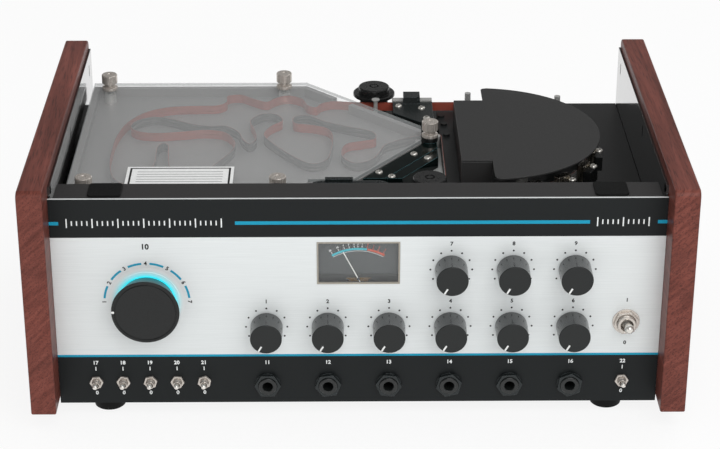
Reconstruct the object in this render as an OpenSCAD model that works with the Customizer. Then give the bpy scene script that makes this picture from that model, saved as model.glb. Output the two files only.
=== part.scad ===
/* [Cabinet] */
// Overall width across both cheeks
width = 416; // [400:1:440]
// Depth of the cheeks
depth = 270; // [262:1:300]
// Height of the cheeks' top edge above the table
height = 168; // [166:1:190]
// Thickness of each wooden cheek
cheek_t = 16; // [12:0.5:22]
// Height of the cheeks' bottom edge above the table
cheek_z = 13.6; // [11:0.1:20]
// Radius of the cheeks' upper corners
cheek_r = 5; // [1:0.5:12]
// Height of the rubber feet
foot_h = 10; // [6:0.5:16]
// Radius of a rubber foot
foot_r = 10; // [7:0.5:13]
// Thickness of the folded steel sheet
sheet_t = 1.5; // [1:0.1:2]
// Top edge of the chassis side walls
wall_top = 161; // [158:0.5:164]
// Setback of the faceplate behind the cheeks' front edges
panel_setback = 21.5; // [20.5:0.1:26]
// Thickness of the aluminium faceplate
panel_t = 2; // [1.5:0.1:3]
// Top edge of the faceplate and shelf
panel_top = 154.3; // [153:0.1:156]
// Depth of the shelf behind the faceplate
shelf_d = 21.5; // [16:0.5:22]

/* [Front panel] */
// Distance between neighbouring knobs and jacks, in a unit of standard width
knob_pitch = 38.8; // [36:0.1:39]
// Radius of a small knob at its base
knob_r = 10.3; // [9:0.05:12]
// Height of a small knob
knob_h = 17.4; // [14:0.1:19]
// Height of the lower knob row
row_low_z = 65.1; // [62:0.1:66]
// Height of the upper knob row
row_high_z = 105.2; // [103:0.1:106]
// Radius of the mode knob at its face
mode_r = 21.5; // [19:0.1:22]
// Radius of the mode knob at its base
mode_base_r = 17.5; // [15:0.1:19]
// Height of the mode knob
mode_h = 14.9; // [13:0.1:20]
// Distance of the mode knob left of the middle, in a unit of standard width
mode_x = 133.2; // [128:0.1:138]
// Height of the mode knob's axis
mode_z = 83.3; // [82:0.1:86]
// Radius of the shafts in the small knobs and the mode knob
shaft_r = 3; // [2.5:0.1:3.2]
// Height of the jack sockets' axes
jack_z = 23.4; // [23:0.1:26]
// Radius of a jack socket's bore
jack_bore_r = 3.25; // [3.2:0.05:3.3]
// Depth of a jack socket's bore
jack_depth = 28; // [20:0.5:32]
// Height of the small toggle switches
toggle_z = 25.6; // [24:0.1:27]
// Distance between neighbouring small toggles, in a unit of standard width
toggle_pitch = 17.3; // [16:0.1:18]
// Swing of a toggle lever from on to off
toggle_swing = 25; // [20:1:26]
// Place of the power switch right of the middle, in a unit of standard width
power_x = 169.9; // [166:0.1:172]
// Height of the power switch
power_z = 68.1; // [60:0.1:80]
// Width of the meter window
meter_w = 52.2; // [48:0.1:54]
// Height of the meter window
meter_h = 29.4; // [27:0.1:30]
// Middle of the meter window above the table
meter_z = 109.8; // [109:0.1:111]

/* [Deck] */
// Upper face of the deck plate
deck_top = 117.5; // [117:0.1:118]
// Upper face of the tank floor
tank_floor_z = 130; // [129.5:0.1:130.5]
// Thickness of the tank floor
tank_floor_t = 2.5; // [1.5:0.1:3]
// Inner height of the tank
tank_inner_h = 7; // [6.9:0.1:8]
// Thickness of the tank wall
tank_wall_t = 4; // [3:0.1:5]
// Thickness of the clear cover
cover_t = 3; // [2:0.1:4]
// Width of the tape
tape_w = 6.35; // [6.2:0.05:6.4]
// Thickness of the drawn tape
tape_t = 0.4; // [0.2:0.05:0.4]
// Radius of a thumb nut
nut_r = 5.5; // [4.5:0.1:6]
// Height of a thumb nut
nut_h = 11.5; // [9:0.1:13]
// Upper face of the head shield
shield_top = 150; // [149:0.1:152]
// Radius of the head shield's round side
shield_r = 78.2; // [76:0.1:79]
// Radius of the tape's path round the heads
head_arc_r = 62; // [60:0.5:63]
// Radius of the capstan
capstan_r = 4; // [3.2:0.1:4.5]
// Radius of the flywheel
flywheel_r = 30; // [24:0.5:32]
// Radius of the motor pulley
pulley_r = 6; // [5:0.1:8]
// Radius of the pinch roller's rubber
pinch_r = 10.6; // [10:0.1:10.9]
// Swing of the pinch arm away from the capstan
pinch_swing = 10; // [6:1:12]
// Radius of the rear tape roller
roller_r = 9.9; // [9:0.1:10.5]

/* [Hidden] */
$fn = 64;

gap = 0.3;
run = 0.06;

// Cabinet
inner_x = width / 2 - cheek_t;
wall_x = inner_x - sheet_t;
back_y = depth / 2 - 2;
panel_y = panel_setback - depth / 2;
panel_back = panel_y + panel_t;
bracket_back = panel_back + sheet_t;
floor_z = foot_h + sheet_t;
deck_z = deck_top - sheet_t;
shelf_back = panel_y + panel_t + shelf_d;
shelf_x = wall_x - 2;
ledge_w = 9;

// Places across the panel and on the deck are given for the standard unit, and move with the cabinet
standard_inner_x = 192;
standard_depth = 270;
function across(x) = x * inner_x / standard_inner_x;
function along(y) = y * depth / standard_depth;
function place(p) = [across(p[0]), along(p[1])];

// Front panel
bush_out = 5;
hole_gap = 0.1;
knob_gap = 0.6;
knob_wall_r = 7.6;
knob_hollow = 6;
bushing_r = 3.5;
pot_r = 8.5;
pot_d = 12;
low_row = [-1.5, -0.5, 0.5, 1.5, 2.5, 3.5];
high_row = [1.5, 2.5, 3.5];
columns = [for (k = low_row) across(k * knob_pitch)];
knob_places = concat([for (x = columns) [x, row_low_z]],
    [for (k = high_row) [across(k * knob_pitch), row_high_z]]);
toggle_mid = -133.4;
level_x = across(169.3);
toggle_places = concat([for (k = [-2:2]) [across(toggle_mid + k * toggle_pitch), toggle_z]],
    [[level_x, toggle_z]]);
mode_at = -across(mode_x);
power_at = across(power_x);
toggle_tilt = toggle_swing / 2;
small_bushing = 2.6;
small_cavity = 1.95;
small_pivot = panel_y - 2.4;
power_bushing = 5.9;
power_cavity = 4.2;
power_pivot = panel_y - 2.5;
jack_bush_r = 5.9;
jack_nut_d = 17.4;
jack_face = panel_y - 4.2;

// Meter
meter_case_w = meter_w + 8;
meter_case_h = meter_h + 6;
meter_case_d = 30;
meter_notch = panel_back + meter_case_d + 2;
meter_pivot_z = meter_z - meter_h / 2 + 2.2;
meter_rest = 27;
dial_y = panel_back + 2.6;
needle_y = dial_y - 1.2;

// Tank
tank_top_z = tank_floor_z + tank_inner_h;
cover_top = tank_top_z + cover_t;
nut_top = cover_top + nut_h;
tank_left = -inner_x + 4.6;
tank_back = along(119.3);
tank_front = along(-82);
tank_notch_x = -meter_case_w / 2 - 1.9;
tank_notch_y = along(-50.9);
slant_from = [across(-2.6), tank_notch_y];
slant_to = place([43.7, 13.8]);
tank_outline = [[tank_left, tank_front], [tank_notch_x, tank_front],
    [tank_notch_x, tank_notch_y], slant_from, slant_to, place([44.6, 37.3]),
    [across(-34.8), tank_back], [tank_left, tank_back]];
slant = slant_to - slant_from;
slant_angle = atan2(slant[1], slant[0]);
stud_r = 2;
post_r = 4;
tank_studs = [for (p = [[-175, 106.7], [-50.8, 108.6], [-174.3, -72], [-51, -72]]) place(p)];
apex_stud = [slant_to[0] + nut_r + 0.4, along(18.3)];

// Tape path, each turn as [centre, radius]
tape_z = tank_floor_z + gap;
turn_gap = gap + tape_t / 2;
tape_line_y = along(88.6);
roller_at = [across(13.1), tape_line_y + roller_r + turn_gap];
post_turn_r = 4.5;
post_at = [across(74), tape_line_y - post_turn_r];
arc_at = place([92, 2]);
pinch_at = place([46.5, -58]);
tape_line_x = pinch_at[0] + pinch_r + turn_gap;
capstan_turn_r = capstan_r + turn_gap;
capstan_at = [tape_line_x + capstan_turn_r, pinch_at[1]];
entry_at = [tape_line_x - post_turn_r, along(27)];
guide_r = post_turn_r - turn_gap;
fold_steps = 3;
folds = [[44, 29], [36, 25], [28, 20], [19, 12], [15.5, 1], [10, -12], [-1, -18], [-9, -9],
    [-10, 4], [-6, 15], [4, 19], [13, 24], [10, 36], [-7, 45], [-22, 54], [-34, 65],
    [-43, 62], [-42, 51], [-29, 47], [-19, 40], [-16, 25], [-17, 6], [-20, -12], [-30, -19],
    [-43, -6], [-55, 13], [-63, 30], [-59, 45], [-51, 56], [-56, 67], [-66, 67], [-73, 56],
    [-70, 40], [-68, 24], [-72, 15], [-77, 22], [-81, 36], [-90, 46], [-102, 46],
    [-114, 50], [-126, 58], [-139, 63], [-151, 57], [-155, 46], [-149, 37], [-136, 34],
    [-120, 36], [-106, 39], [-93, 37], [-86, 29], [-82, 16], [-84, 2], [-93, -18],
    [-103, -38], [-115, -43], [-123, -26], [-126, -4], [-127, 12], [-131, 16], [-134, 8],
    [-134, -18], [-138, -42], [-148, -52], [-158, -43], [-163, -22], [-164, 2], [-163, 28],
    [-158, 52], [-147, 71], [-130, 81], [-110, 83], [-97, 84], [-91, 91], [-91, 101],
    [-82, 104], [-72, 96], [-63, 90], [-57, 97], [-48, 102], [-38, 96], [-34, 84],
    [-28, 80], [-24, 87], [-16, 91], [-6, 89.6], [2, 88.8], [8, 88.6]];

// Heads
shield_c = place([84, 3.8]);
shield_x = across(87.5);
tab_x = across(67.5);
tab_front = along(-44.8);
tab_back = along(59);
strip_x = across(57.4);
strip_back = along(92);
base_top = tank_floor_z - 0.1;
head_plate_z = 127.9;
head_angles = [44, 18, -7, -29, -51, -71];
head_w = 11;
head_top = 141;

// Drive
motor_at = place([120, -45]);
motor_r = 20;
motor_h = 38;
wheel_z = 64;
wheel_t = 12;
belt_t = 1.4;
belt_w = 4;
belt_z = wheel_z + (wheel_t - belt_w) / 2;
pinch_reach = 23;
pinch_pivot = pinch_at - [0, pinch_reach];
pinch_arm_z = 121;
rear_top = 145;
pinch_top = 144;

// Inside
inlet_x = across(130);
inlet_body_w = 27;
inlet_body_h = 20;
inlet_z = 82;
inlet_w = 24.4;
inlet_h = 16.6;

function arc_points(c, r, a, b, n) =
    [for (i = [0:n]) c + r * [cos(a + (b - a) * i / n), sin(a + (b - a) * i / n)]];
function tangent_angle(c1, r1, c2, r2) =
    let (d = c2 - c1) atan2(d[1], d[0]) + acos((r1 - r2) / norm(d));
function spline_point(a, b, c, d, t) =
    0.5 * (2 * b + (c - a) * t + (2 * a - 5 * b + 4 * c - d) * t * t
        + (3 * b - a - 3 * c + d) * t * t * t);
function spline(p, n) = [for (i = [0:len(p) - 2], k = [0:n - 1])
    spline_point(p[max(i - 1, 0)], p[i], p[i + 1], p[min(i + 2, len(p) - 1)], k / n)];
function unit(v) = v / norm(v);
function normal_at(p, i) = let (n = len(p), d = unit(p[(i + 1) % n] - p[(i + n - 1) % n]))
    [-d[1], d[0]];
function shifted(p, d) = [for (i = [0:len(p) - 1]) p[i] + d * normal_at(p, i)];
function inset_corner(a, b, c, d) = let (u = unit(b - a), v = unit(c - b),
    nu = [-u[1], u[0]], nv = [-v[1], v[0]]) b + d * (nu + nv) / (1 + nu * nv);
function inset(p, d) = let (n = len(p))
    [for (i = [0:n - 1]) inset_corner(p[(i + n - 1) % n], p[i], p[(i + 1) % n], d)];

// The tape's middle line, from the tank's apex through the folds and round the heads
post_out = tangent_angle(post_at, post_turn_r, arc_at, head_arc_r);
arc_out = tangent_angle(arc_at, head_arc_r, capstan_at, capstan_turn_r);
tape_line = concat(
    spline([for (p = folds) place(p)], fold_steps),
    [[roller_at[0], tape_line_y]],
    arc_points(post_at, post_turn_r, 90, post_out, 4),
    arc_points(arc_at, head_arc_r, post_out, arc_out, 28),
    arc_points(capstan_at, capstan_turn_r, arc_out, -180, 8),
    arc_points(entry_at, post_turn_r, 0, 105, 8));
near_steps = 4;
function wrap_steps(i, j) = min(abs(i - j), len(tape_line) - abs(i - j));
function self_gap() = min([for (i = [0:len(tape_line) - 1], j = [0:len(tape_line) - 1])
    if (wrap_steps(i, j) > near_steps) norm(tape_line[i] - tape_line[j])]) - tape_t;

// A plate in the XY plane from a lower to an upper height
module slab(points, z0, z1) {
    translate([0, 0, z0]) linear_extrude(z1 - z0) polygon(points);
}

// A round bar along Y from the panel side to the back
module bar_y(x, z, y0, y1, r) {
    translate([x, y1, z]) rotate([90, 0, 0]) cylinder(h = y1 - y0, r = r);
}

// A hexagon along Y, measured across its corners
module hex_y(x, z, y0, y1, d) {
    translate([x, y1, z]) rotate([90, 0, 0]) cylinder(h = y1 - y0, d = d, $fn = 6);
}

// A box between two corners
module block(a, b) {
    translate(a) cube(b - a);
}

module disc(at, z0, z1, r) {
    translate([at[0], at[1], z0]) cylinder(h = z1 - z0, r = r);
}

module ring(at, z0, z1, r, bore) {
    difference() {
        disc(at, z0, z1, r);
        disc(at, z0 - 1, z1 + 1, bore);
    }
}

// Wooden side, seen from the side as a plate with two round upper corners
module cheek(x) {
    translate([x, 0, 0]) rotate([90, 0, 90]) linear_extrude(cheek_t) union() {
        translate([-depth / 2, cheek_z]) square([depth, height - cheek_r - cheek_z]);
        translate([-depth / 2 + cheek_r, cheek_z]) square([depth - 2 * cheek_r, height - cheek_z]);
        for (s = [-1, 1]) translate([s * (depth / 2 - cheek_r), height - cheek_r]) circle(cheek_r);
    }
}

module left_cheek() {
    color("#6e2f2a") cheek(-width / 2);
}

module right_cheek() {
    color("#6e2f2a") cheek(width / 2 - cheek_t);
}

// Slots in the side walls that the lid's tabs drop into
slot_places = [[along(117.6), wall_top - 11], [0, wall_top - 10]];
module chassis_tray() {
    color("#232325") difference() {
        union() {
            block([-inner_x, bracket_back, foot_h], [inner_x, back_y, floor_z]);
            for (s = [-1, 1]) {
                translate([s * (inner_x - sheet_t / 2), 0, 0])
                    block([-sheet_t / 2, bracket_back, foot_h], [sheet_t / 2, back_y, wall_top]);
                translate([s * (wall_x - ledge_w / 2), 0, 0])
                    block([-ledge_w / 2, bracket_back + ledge_w + gap, deck_z - sheet_t],
                        [ledge_w / 2, back_y - sheet_t, deck_z]);
            }
            block([-inner_x, back_y - sheet_t, foot_h], [inner_x, back_y, deck_z]);
        }
        for (p = slot_places, s = [-1, 1]) translate([s * inner_x, p[0], p[1]])
            block([-4, -1, -4], [4, 1, 4]);
        inlet_cutout();
    }
}

module inlet_cutout() {
    x = inlet_body_w / 2 + 0.5;
    z = inlet_body_h / 2 + 0.5;
    block([inlet_x - x, back_y - 4, inlet_z - z], [inlet_x + x, back_y + 4, inlet_z + z]);
}

module panel_hole(p, r) {
    bar_y(p[0], p[1], panel_y - 5, bracket_back + 5, r + hole_gap);
}

// Everything that passes through the faceplate and the bracket behind it
module panel_holes() {
    for (p = knob_places) panel_hole(p, bushing_r);
    panel_hole([mode_at, mode_z], bushing_r + 1);
    for (x = columns) panel_hole([x, jack_z], jack_bush_r);
    for (p = toggle_places) panel_hole(p, small_bushing);
    panel_hole([power_at, power_z], power_bushing);
}

module front_panel() {
    color("#b9bcc0") difference() {
        block([-inner_x, panel_y, foot_h], [inner_x, panel_back, panel_top]);
        panel_holes();
        block([-meter_w / 2, panel_y - 5, meter_z - meter_h / 2],
            [meter_w / 2, panel_back + 5, meter_z + meter_h / 2]);
    }
}

// Folded steel sub-panel with the shelf on top and a ledge for the deck
module front_bracket() {
    color("#3a3a3c") difference() {
        union() {
            block([-shelf_x, panel_back, floor_z], [shelf_x, bracket_back, panel_top]);
            block([-shelf_x, panel_back, panel_top - sheet_t], [shelf_x, shelf_back, panel_top]);
            block([-shelf_x, shelf_back - sheet_t, panel_top - 6], [shelf_x, shelf_back, panel_top]);
            block([-shelf_x, panel_back, deck_z - sheet_t], [shelf_x, bracket_back + ledge_w, deck_z]);
        }
        panel_holes();
        block([-meter_case_w / 2 - gap, panel_back - 5, meter_z - meter_case_h / 2 - gap],
            [meter_case_w / 2 + gap, bracket_back + ledge_w + 5, meter_z + meter_case_h / 2 + gap]);
    }
}

pad_w = 21;
pad_x = across(157.5);
pad_t = 1.2;
module lid_pads() {
    color("#1b1b1b") for (s = [-1, 1]) translate([s * pad_x, 0, panel_top])
        block([-pad_w / 2, panel_back + 1, 0], [pad_w / 2, shelf_back - 1, pad_t]);
}

foot_x = across(161);
foot_front = along(-96);
foot_back = along(108);
module feet() {
    color("#151515") for (s = [-1, 1], y = [foot_front, foot_back]) difference() {
        translate([s * foot_x, y, 0]) cylinder(h = foot_h, r1 = foot_r - 1.2, r2 = foot_r);
        disc([s * foot_x, y], -1, foot_h / 2, foot_r / 3);
    }
}

module deck_plate() {
    color("#1c1c1e") difference() {
        block([-wall_x + 0.2, bracket_back + 0.2, deck_z], [wall_x - 0.2, back_y, deck_top]);
        block([-meter_case_w / 2 - 1, bracket_back - 5, deck_z - 5],
            [meter_case_w / 2 + 1, meter_notch, deck_top + 5]);
        disc(capstan_at, deck_z - 5, deck_top + 5, bearing_r + 0.1);
        disc(motor_at, deck_z - 5, deck_top + 5, 5.2);
    }
}

// Light metal tray with a wall round it, open where the tape goes in and out
exit_at = place([-9, 90]);
exit_w = 16;
exit_d = 18;
entry_from = place([36, 20]);
entry_to = place([50, 34]);
module tank_base() {
    color("#a7a8aa") difference() {
        slab(tank_outline, tank_floor_z - tank_floor_t, tank_top_z);
        slab(inset(tank_outline, tank_wall_t), tank_floor_z, tank_top_z + 1);
        translate([exit_at[0], exit_at[1], tank_floor_z]) rotate([0, 0, -48])
            block([-exit_w / 2, -exit_d / 2, 0], [exit_w / 2, exit_d / 2, tank_inner_h + 5]);
        block([entry_from[0], entry_from[1], tank_floor_z],
            [entry_to[0], entry_to[1], tank_top_z + 5]);
        for (p = tank_studs) disc(p, tank_floor_z - 5, tank_floor_z + 5, stud_r + 0.2);
    }
}

module tank_cover() {
    color([0.75, 0.77, 0.8, 0.4]) difference() {
        slab(tank_outline, tank_top_z, cover_top);
        for (p = tank_studs) disc(p, tank_top_z - 5, cover_top + 5, stud_r + 0.2);
    }
}

// Turned posts: tank spacers and studs, tape guides, shield pillars, pegs and axles
rail_plate_z = tank_floor_z - 4;
rail_plate_top = tank_floor_z - 1;
rail_top = tank_top_z;
rail_posts = [place([12, -38]), place([50, -38])];
pillar_at = [place([108, 42]), place([132, 4]), place([108, -34])];
peg_at = [[across(81.6), along(125), deck_top + 11.5], [across(146.7), along(125), deck_top + 9]];
peg_r = 2.2;
pin_at = [roller_at[0] + 0.9, tape_line_y - 6.8];
pin_r = 1.4;
pin_top = cover_top + 1;
pin_head_t = 0.8;
blade_t = 1;
module deck_posts() {
    color("#c2bfb6") {
        for (p = tank_studs) {
            disc(p, deck_top, tank_floor_z - tank_floor_t, post_r + 1);
            disc(p, tank_floor_z - tank_floor_t, tank_floor_z, stud_r);
            disc(p, tank_floor_z, tank_top_z, post_r);
            disc(p, tank_top_z, nut_top - 4, stud_r);
        }
        disc(apex_stud, deck_top, rail_plate_z, post_r + 1);
        disc(apex_stud, rail_plate_z, nut_top - 4, stud_r);
        for (p = rail_posts) disc(p, deck_top, rail_plate_z, post_r);
        disc(post_at, base_top, tank_top_z, guide_r);
        disc(entry_at, rail_plate_top, tank_top_z, guide_r);
        for (p = pillar_at) disc(p, head_plate_z, shield_top - sheet_t, post_r);
        for (p = peg_at) disc(p, deck_top, p[2], peg_r);
        disc(pin_at, deck_top, pin_top, pin_r);
        disc(pin_at, pin_top, pin_top + pin_head_t, pin_r * 2);
        disc(roller_at, deck_top, rear_top - 4, shaft_r);
        disc(pinch_pivot, deck_top, pinch_arm_z + 6, shaft_r);
        guide_blade(guide_x0 - 0.4, bridge_x0 - 0.2);
        guide_blade(bridge_x1 + 0.2, guide_x1);
    }
}

module guide_blade(x0, x1) {
    block([x0, guide_y, guide_top], [x1, guide_wall_y + 0.5, guide_top + blade_t]);
}

// Knurled thumb nut with a narrow neck over a collar
neck_h = 2;
collar_h = 2.5;
module thumb_nut(at) {
    color("#bdb9b0") difference() {
        union() {
            disc(at, cover_top, cover_top + collar_h, nut_r);
            disc(at, cover_top + collar_h, cover_top + collar_h + neck_h, nut_r - 2);
            disc(at, cover_top + collar_h + neck_h, nut_top, nut_r);
        }
        disc(at, cover_top - 1, nut_top - 3.5, stud_r + 0.1);
    }
}

module thumb_nuts() {
    for (p = tank_studs) thumb_nut(p);
    thumb_nut(apex_stud);
}

// One closed band of tape standing on its edge
module tape_loop() {
    echo("least gap of the tape to itself in mm", self_gap());
    color("#6b3a30") translate([0, 0, tape_z]) linear_extrude(tape_w) difference() {
        polygon(shifted(tape_line, tape_t / 2));
        polygon(shifted(tape_line, -tape_t / 2));
    }
}

// Brushed plate between the tank's slanted side and the heads
plate_edge = strip_x - 0.3;
module rail_plate() {
    color("#b5b6b4") difference() {
        slab([place([3.4, -45]), [plate_edge, along(-45)], [plate_edge, along(32)],
            place([46, 32]), place([46, 15])], rail_plate_z, rail_plate_top);
        disc(apex_stud, rail_plate_z - 5, rail_plate_top + 5, stud_r + 0.2);
    }
}

// Two dark bars side by side along the tank's slanted side
rail_offset = 0.9;
rail_wide = 12.2;
rail_slim = 8.2;
rail_split = 0.6;
module rail_bar(from, wide) {
    translate(slant_from) rotate([0, 0, slant_angle])
        block([-30, -from - wide, rail_plate_top], [norm(slant) + 20, -from, rail_top]);
}

// The part of the rails between the pinch roller and the apex
module rail_reach(back) {
    block([across(-10), along(-44), rail_plate_top], [tape_line_x - 3.4, back, rail_top]);
}
module tank_rails() {
    color("#101413") {
        difference() {
            intersection() {
                rail_bar(rail_offset, rail_wide);
                rail_reach(along(23.5));
            }
            disc(apex_stud, rail_plate_top - 5, rail_top + 5, stud_r + 0.2);
            disc(entry_at, rail_plate_top - 5, rail_top + 5, guide_r + 0.3);
        }
        intersection() {
            rail_bar(rail_offset + rail_wide + rail_split, rail_slim);
            rail_reach(along(40));
        }
        ring(apex_stud, rail_top, cover_top, nut_r, stud_r + 0.2);
    }
}

// Low black block in the tank's front corner
front_x0 = across(-30);
front_x1 = across(20);
front_y0 = meter_notch + 1.5;
front_y1 = tank_notch_y - 3.1;
front_r = 7;
front_bar_h = 2.6;
module front_block() {
    corner_y = front_y1 - front_r;
    union() {
        block([front_x0, front_y0, deck_top], [front_x1, corner_y, cover_top]);
        block([front_x0 + front_r, front_y0, deck_top], [front_x1 - front_r, front_y1, cover_top]);
        disc([front_x0 + front_r, corner_y], deck_top, cover_top, front_r);
        disc([front_x1 - front_r, corner_y], deck_top, cover_top, front_r);
        block([front_x0 + 9, front_y1 - 4, cover_top],
            [front_x0 + 27, front_y1 - 0.2, cover_top + front_bar_h]);
    }
}

// Dark block beside the tape with a back wall and a bridge over the tape
guide_top = tank_top_z + 1;
guide_x0 = across(26);
guide_x1 = across(53.8);
guide_y = tape_line_y - 2.1;
guide_wall_y = tape_line_y + 2.3;
guide_wall_t = 2.1;
bridge_x0 = across(33.6);
bridge_x1 = across(45.2);
bridge_y = guide_y - 4.5;
bridge_h = 5;
module rear_block() {
    wall_back = guide_wall_y + guide_wall_t;
    difference() {
        union() {
            slab([[guide_x0, along(66)], place([46, 47]), [guide_x1, along(51)],
                [guide_x1, guide_y], [guide_x0, guide_y]], deck_top, guide_top);
            block([guide_x0, guide_wall_y, deck_top], [guide_x1, wall_back, guide_top]);
            block([bridge_x0, bridge_y, guide_top], [bridge_x1, wall_back, guide_top + bridge_h]);
        }
        block([bridge_x1 - 2, bridge_y - 2, guide_top + bridge_h - 2.4],
            [bridge_x1 + 1, bridge_y + 2, guide_top + bridge_h + 1]);
    }
}

module tape_guides() {
    color("#141718") {
        front_block();
        rear_block();
    }
}

// Black base under the heads with a strip beside the tank
boss_r = 2.3;
boss_h = 1.4;
module head_base() {
    color("#161617") {
        intersection() {
            disc(shield_c, deck_top, head_plate_z, shield_r - 1.5);
            block([shield_x - 3, -90, deck_top], [200, 90, head_plate_z]);
        }
        block([strip_x, tab_front, deck_top], [shield_x - 3, strip_back, base_top]);
        for (p = [[60, 77.8], [61.4, 63.1], [62.2, 44.2]])
            disc(place(p), base_top, base_top + boss_h, boss_r);
    }
}

// Heads round the arc, each with a silver block and a dark clamp behind it
module tape_heads() {
    for (a = head_angles) translate([arc_at[0], arc_at[1], 0]) rotate([0, 0, a]) {
        color("#a8a39a") block([head_arc_r + turn_gap, -head_w / 2, head_plate_z],
            [head_arc_r + turn_gap + 5, head_w / 2, head_top]);
        color("#2a2a2a") difference() {
            block([head_arc_r + turn_gap + 5, -head_w / 2 - 1, head_plate_z],
                [head_arc_r + turn_gap + 10, head_w / 2 + 1, head_top - 3]);
            disc([head_arc_r + turn_gap + 7.5, 0], head_top - 9, head_top + 1, 1.1);
        }
    }
}

// Flat shield over the heads with a folded box over the tab
module head_shield() {
    color("#3b3b3d") union() {
        intersection() {
            disc(shield_c, shield_top - sheet_t, shield_top, shield_r);
            block([shield_x, -90, shield_top - sheet_t], [200, 90, shield_top]);
        }
        block([tab_x, tab_front, shield_top - sheet_t], [shield_x + 1, tab_back, shield_top]);
        block([tab_x, tab_front, base_top], [tab_x + sheet_t, tab_back, shield_top]);
        block([tab_x, tab_front, base_top], [shield_x - 4, tab_front + sheet_t, shield_top]);
        block([tab_x, tab_back - sheet_t, base_top], [shield_x - 4, tab_back, shield_top]);
    }
}

// Round-headed screw with a hexagon socket, standing on a face
screw_r = 2.3;
screw_h = 1.2;
rail_screws = [[0.77, 6.2], [0.766, 17.4], [0.29, 4.2], [0.28, 14.8]];
guide_screws = [place([48.8, 55.5]), place([30, 78]), place([46, 74])];
module deck_screw(x, y, z) {
    translate([x, y, z]) difference() {
        cylinder(h = screw_h, r1 = screw_r, r2 = screw_r - 0.5);
        translate([0, 0, screw_h / 2]) cylinder(h = screw_h, r = 1.1, $fn = 6);
    }
}

module deck_screws() {
    color("#c9c8c4") {
        for (p = rail_screws) translate(slant_from) rotate([0, 0, slant_angle])
            deck_screw(p[0] * norm(slant), -p[1], rail_top);
        for (p = guide_screws) deck_screw(p[0], p[1], guide_top);
        for (a = head_angles) translate([arc_at[0], arc_at[1], 0]) rotate([0, 0, a])
            deck_screw(head_arc_r + turn_gap + 7.5, 4.2, head_top - 3);
        for (a = [-84, -62, -40, -18, 4, 26]) translate([arc_at[0], arc_at[1], 0])
            rotate([0, 0, a]) deck_screw(head_arc_r - 5.5, 0, head_plate_z);
    }
}

bearing_r = 8;
bearing_z = wheel_z + wheel_t + 2;
module capstan_bearing() {
    color("#b08d4c") difference() {
        union() {
            disc(capstan_at, bearing_z, deck_top + 3, bearing_r);
            disc(capstan_at, deck_z - 4, deck_z, bearing_r + 7);
        }
        disc(capstan_at, bearing_z - 1, deck_top + 4, shaft_r + run);
    }
}

module capstan() {
    color("#c8c8c8") union() {
        disc(capstan_at, wheel_z + wheel_t, deck_top + 4, shaft_r);
        disc(capstan_at, deck_top + 3 + gap, 138, capstan_r);
        disc(capstan_at, wheel_z, wheel_z + wheel_t, flywheel_r - 2);
        disc(capstan_at, wheel_z, wheel_z + (wheel_t - belt_w) / 2 - 0.5, flywheel_r + 1);
        disc(capstan_at, belt_z - 1, belt_z + belt_w + 1, flywheel_r);
        disc(capstan_at, belt_z + belt_w + 0.5, wheel_z + wheel_t, flywheel_r + 1);
    }
}

// Motor hung under the deck with its shaft pointing down
module motor() {
    color("#8f9194") difference() {
        union() {
            disc(motor_at, deck_z - motor_h, deck_z, motor_r);
            disc(motor_at, deck_z, deck_top, 5);
        }
        disc(motor_at, deck_z - motor_h - 1, deck_z - 4, 1.5 + run);
    }
}

module motor_pulley() {
    color("#c9a55b") union() {
        disc(motor_at, belt_z + belt_w + 1, deck_z - 5, 1.5);
        disc(motor_at, belt_z - 2, belt_z + belt_w + 2, pulley_r);
        disc(motor_at, belt_z - 3.5, belt_z - 0.5, pulley_r + 1.6);
        disc(motor_at, belt_z + belt_w + 0.5, belt_z + belt_w + 2, pulley_r + 1.6);
    }
}

// Flat belt round the flywheel and the motor pulley
function belt_outline(d) = let (r1 = flywheel_r + gap + d, r2 = pulley_r + gap + d,
    v = motor_at - capstan_at, a = atan2(v[1], v[0]), b = acos((r1 - r2) / norm(v)))
    concat(arc_points(capstan_at, r1, a + b, a + 360 - b, 48),
        arc_points(motor_at, r2, a - b, a + b, 16));
module drive_belt() {
    color("#202020") translate([0, 0, belt_z]) linear_extrude(belt_w) difference() {
        polygon(belt_outline(belt_t));
        polygon(belt_outline(0));
    }
}

pinch_axle = pinch_arm_z + 4;
module pinch_arm() {
    color("#9a9c9e") union() {
        difference() {
            union() {
                block([pinch_at[0] - 5, pinch_pivot[1], pinch_arm_z],
                    [pinch_at[0] + 5, pinch_at[1], pinch_arm_z + 4]);
                disc(pinch_pivot, pinch_arm_z, pinch_arm_z + 4, 6);
                disc(pinch_at, pinch_arm_z, pinch_arm_z + 4, 5);
            }
            disc(pinch_pivot, pinch_arm_z - 1, pinch_arm_z + 5, shaft_r + run);
        }
        disc(pinch_at, pinch_axle - 1, pinch_top - 3, 2);
    }
}

module pinch_roller() {
    color("#1d1d1f") difference() {
        union() {
            disc(pinch_at, tank_floor_z - 2, tank_top_z + 1, pinch_r);
            disc(pinch_at, tank_top_z + 1, pinch_top, pinch_r + 0.4);
            disc(pinch_at, pinch_axle + gap, tank_floor_z - 2, 5);
        }
        disc(pinch_at, pinch_axle - 1, pinch_top - 3 + gap, 2 + run);
        ring(pinch_at, pinch_top - 0.8, pinch_top + 1, 3.4, 2.2);
    }
}

module rear_roller() {
    color("#1d1d1f") difference() {
        union() {
            disc(roller_at, tank_floor_z - 3, tank_top_z + 1, roller_r);
            disc(roller_at, tank_top_z + 1, tank_top_z + 3.6, 14.7);
            disc(roller_at, tank_top_z + 3.6, rear_top, 10.9);
        }
        disc(roller_at, tank_floor_z - 4, rear_top - 4 + gap, shaft_r + run);
        ring(roller_at, rear_top - 0.8, rear_top + 1, 3.4, 2.2);
    }
}

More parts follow.
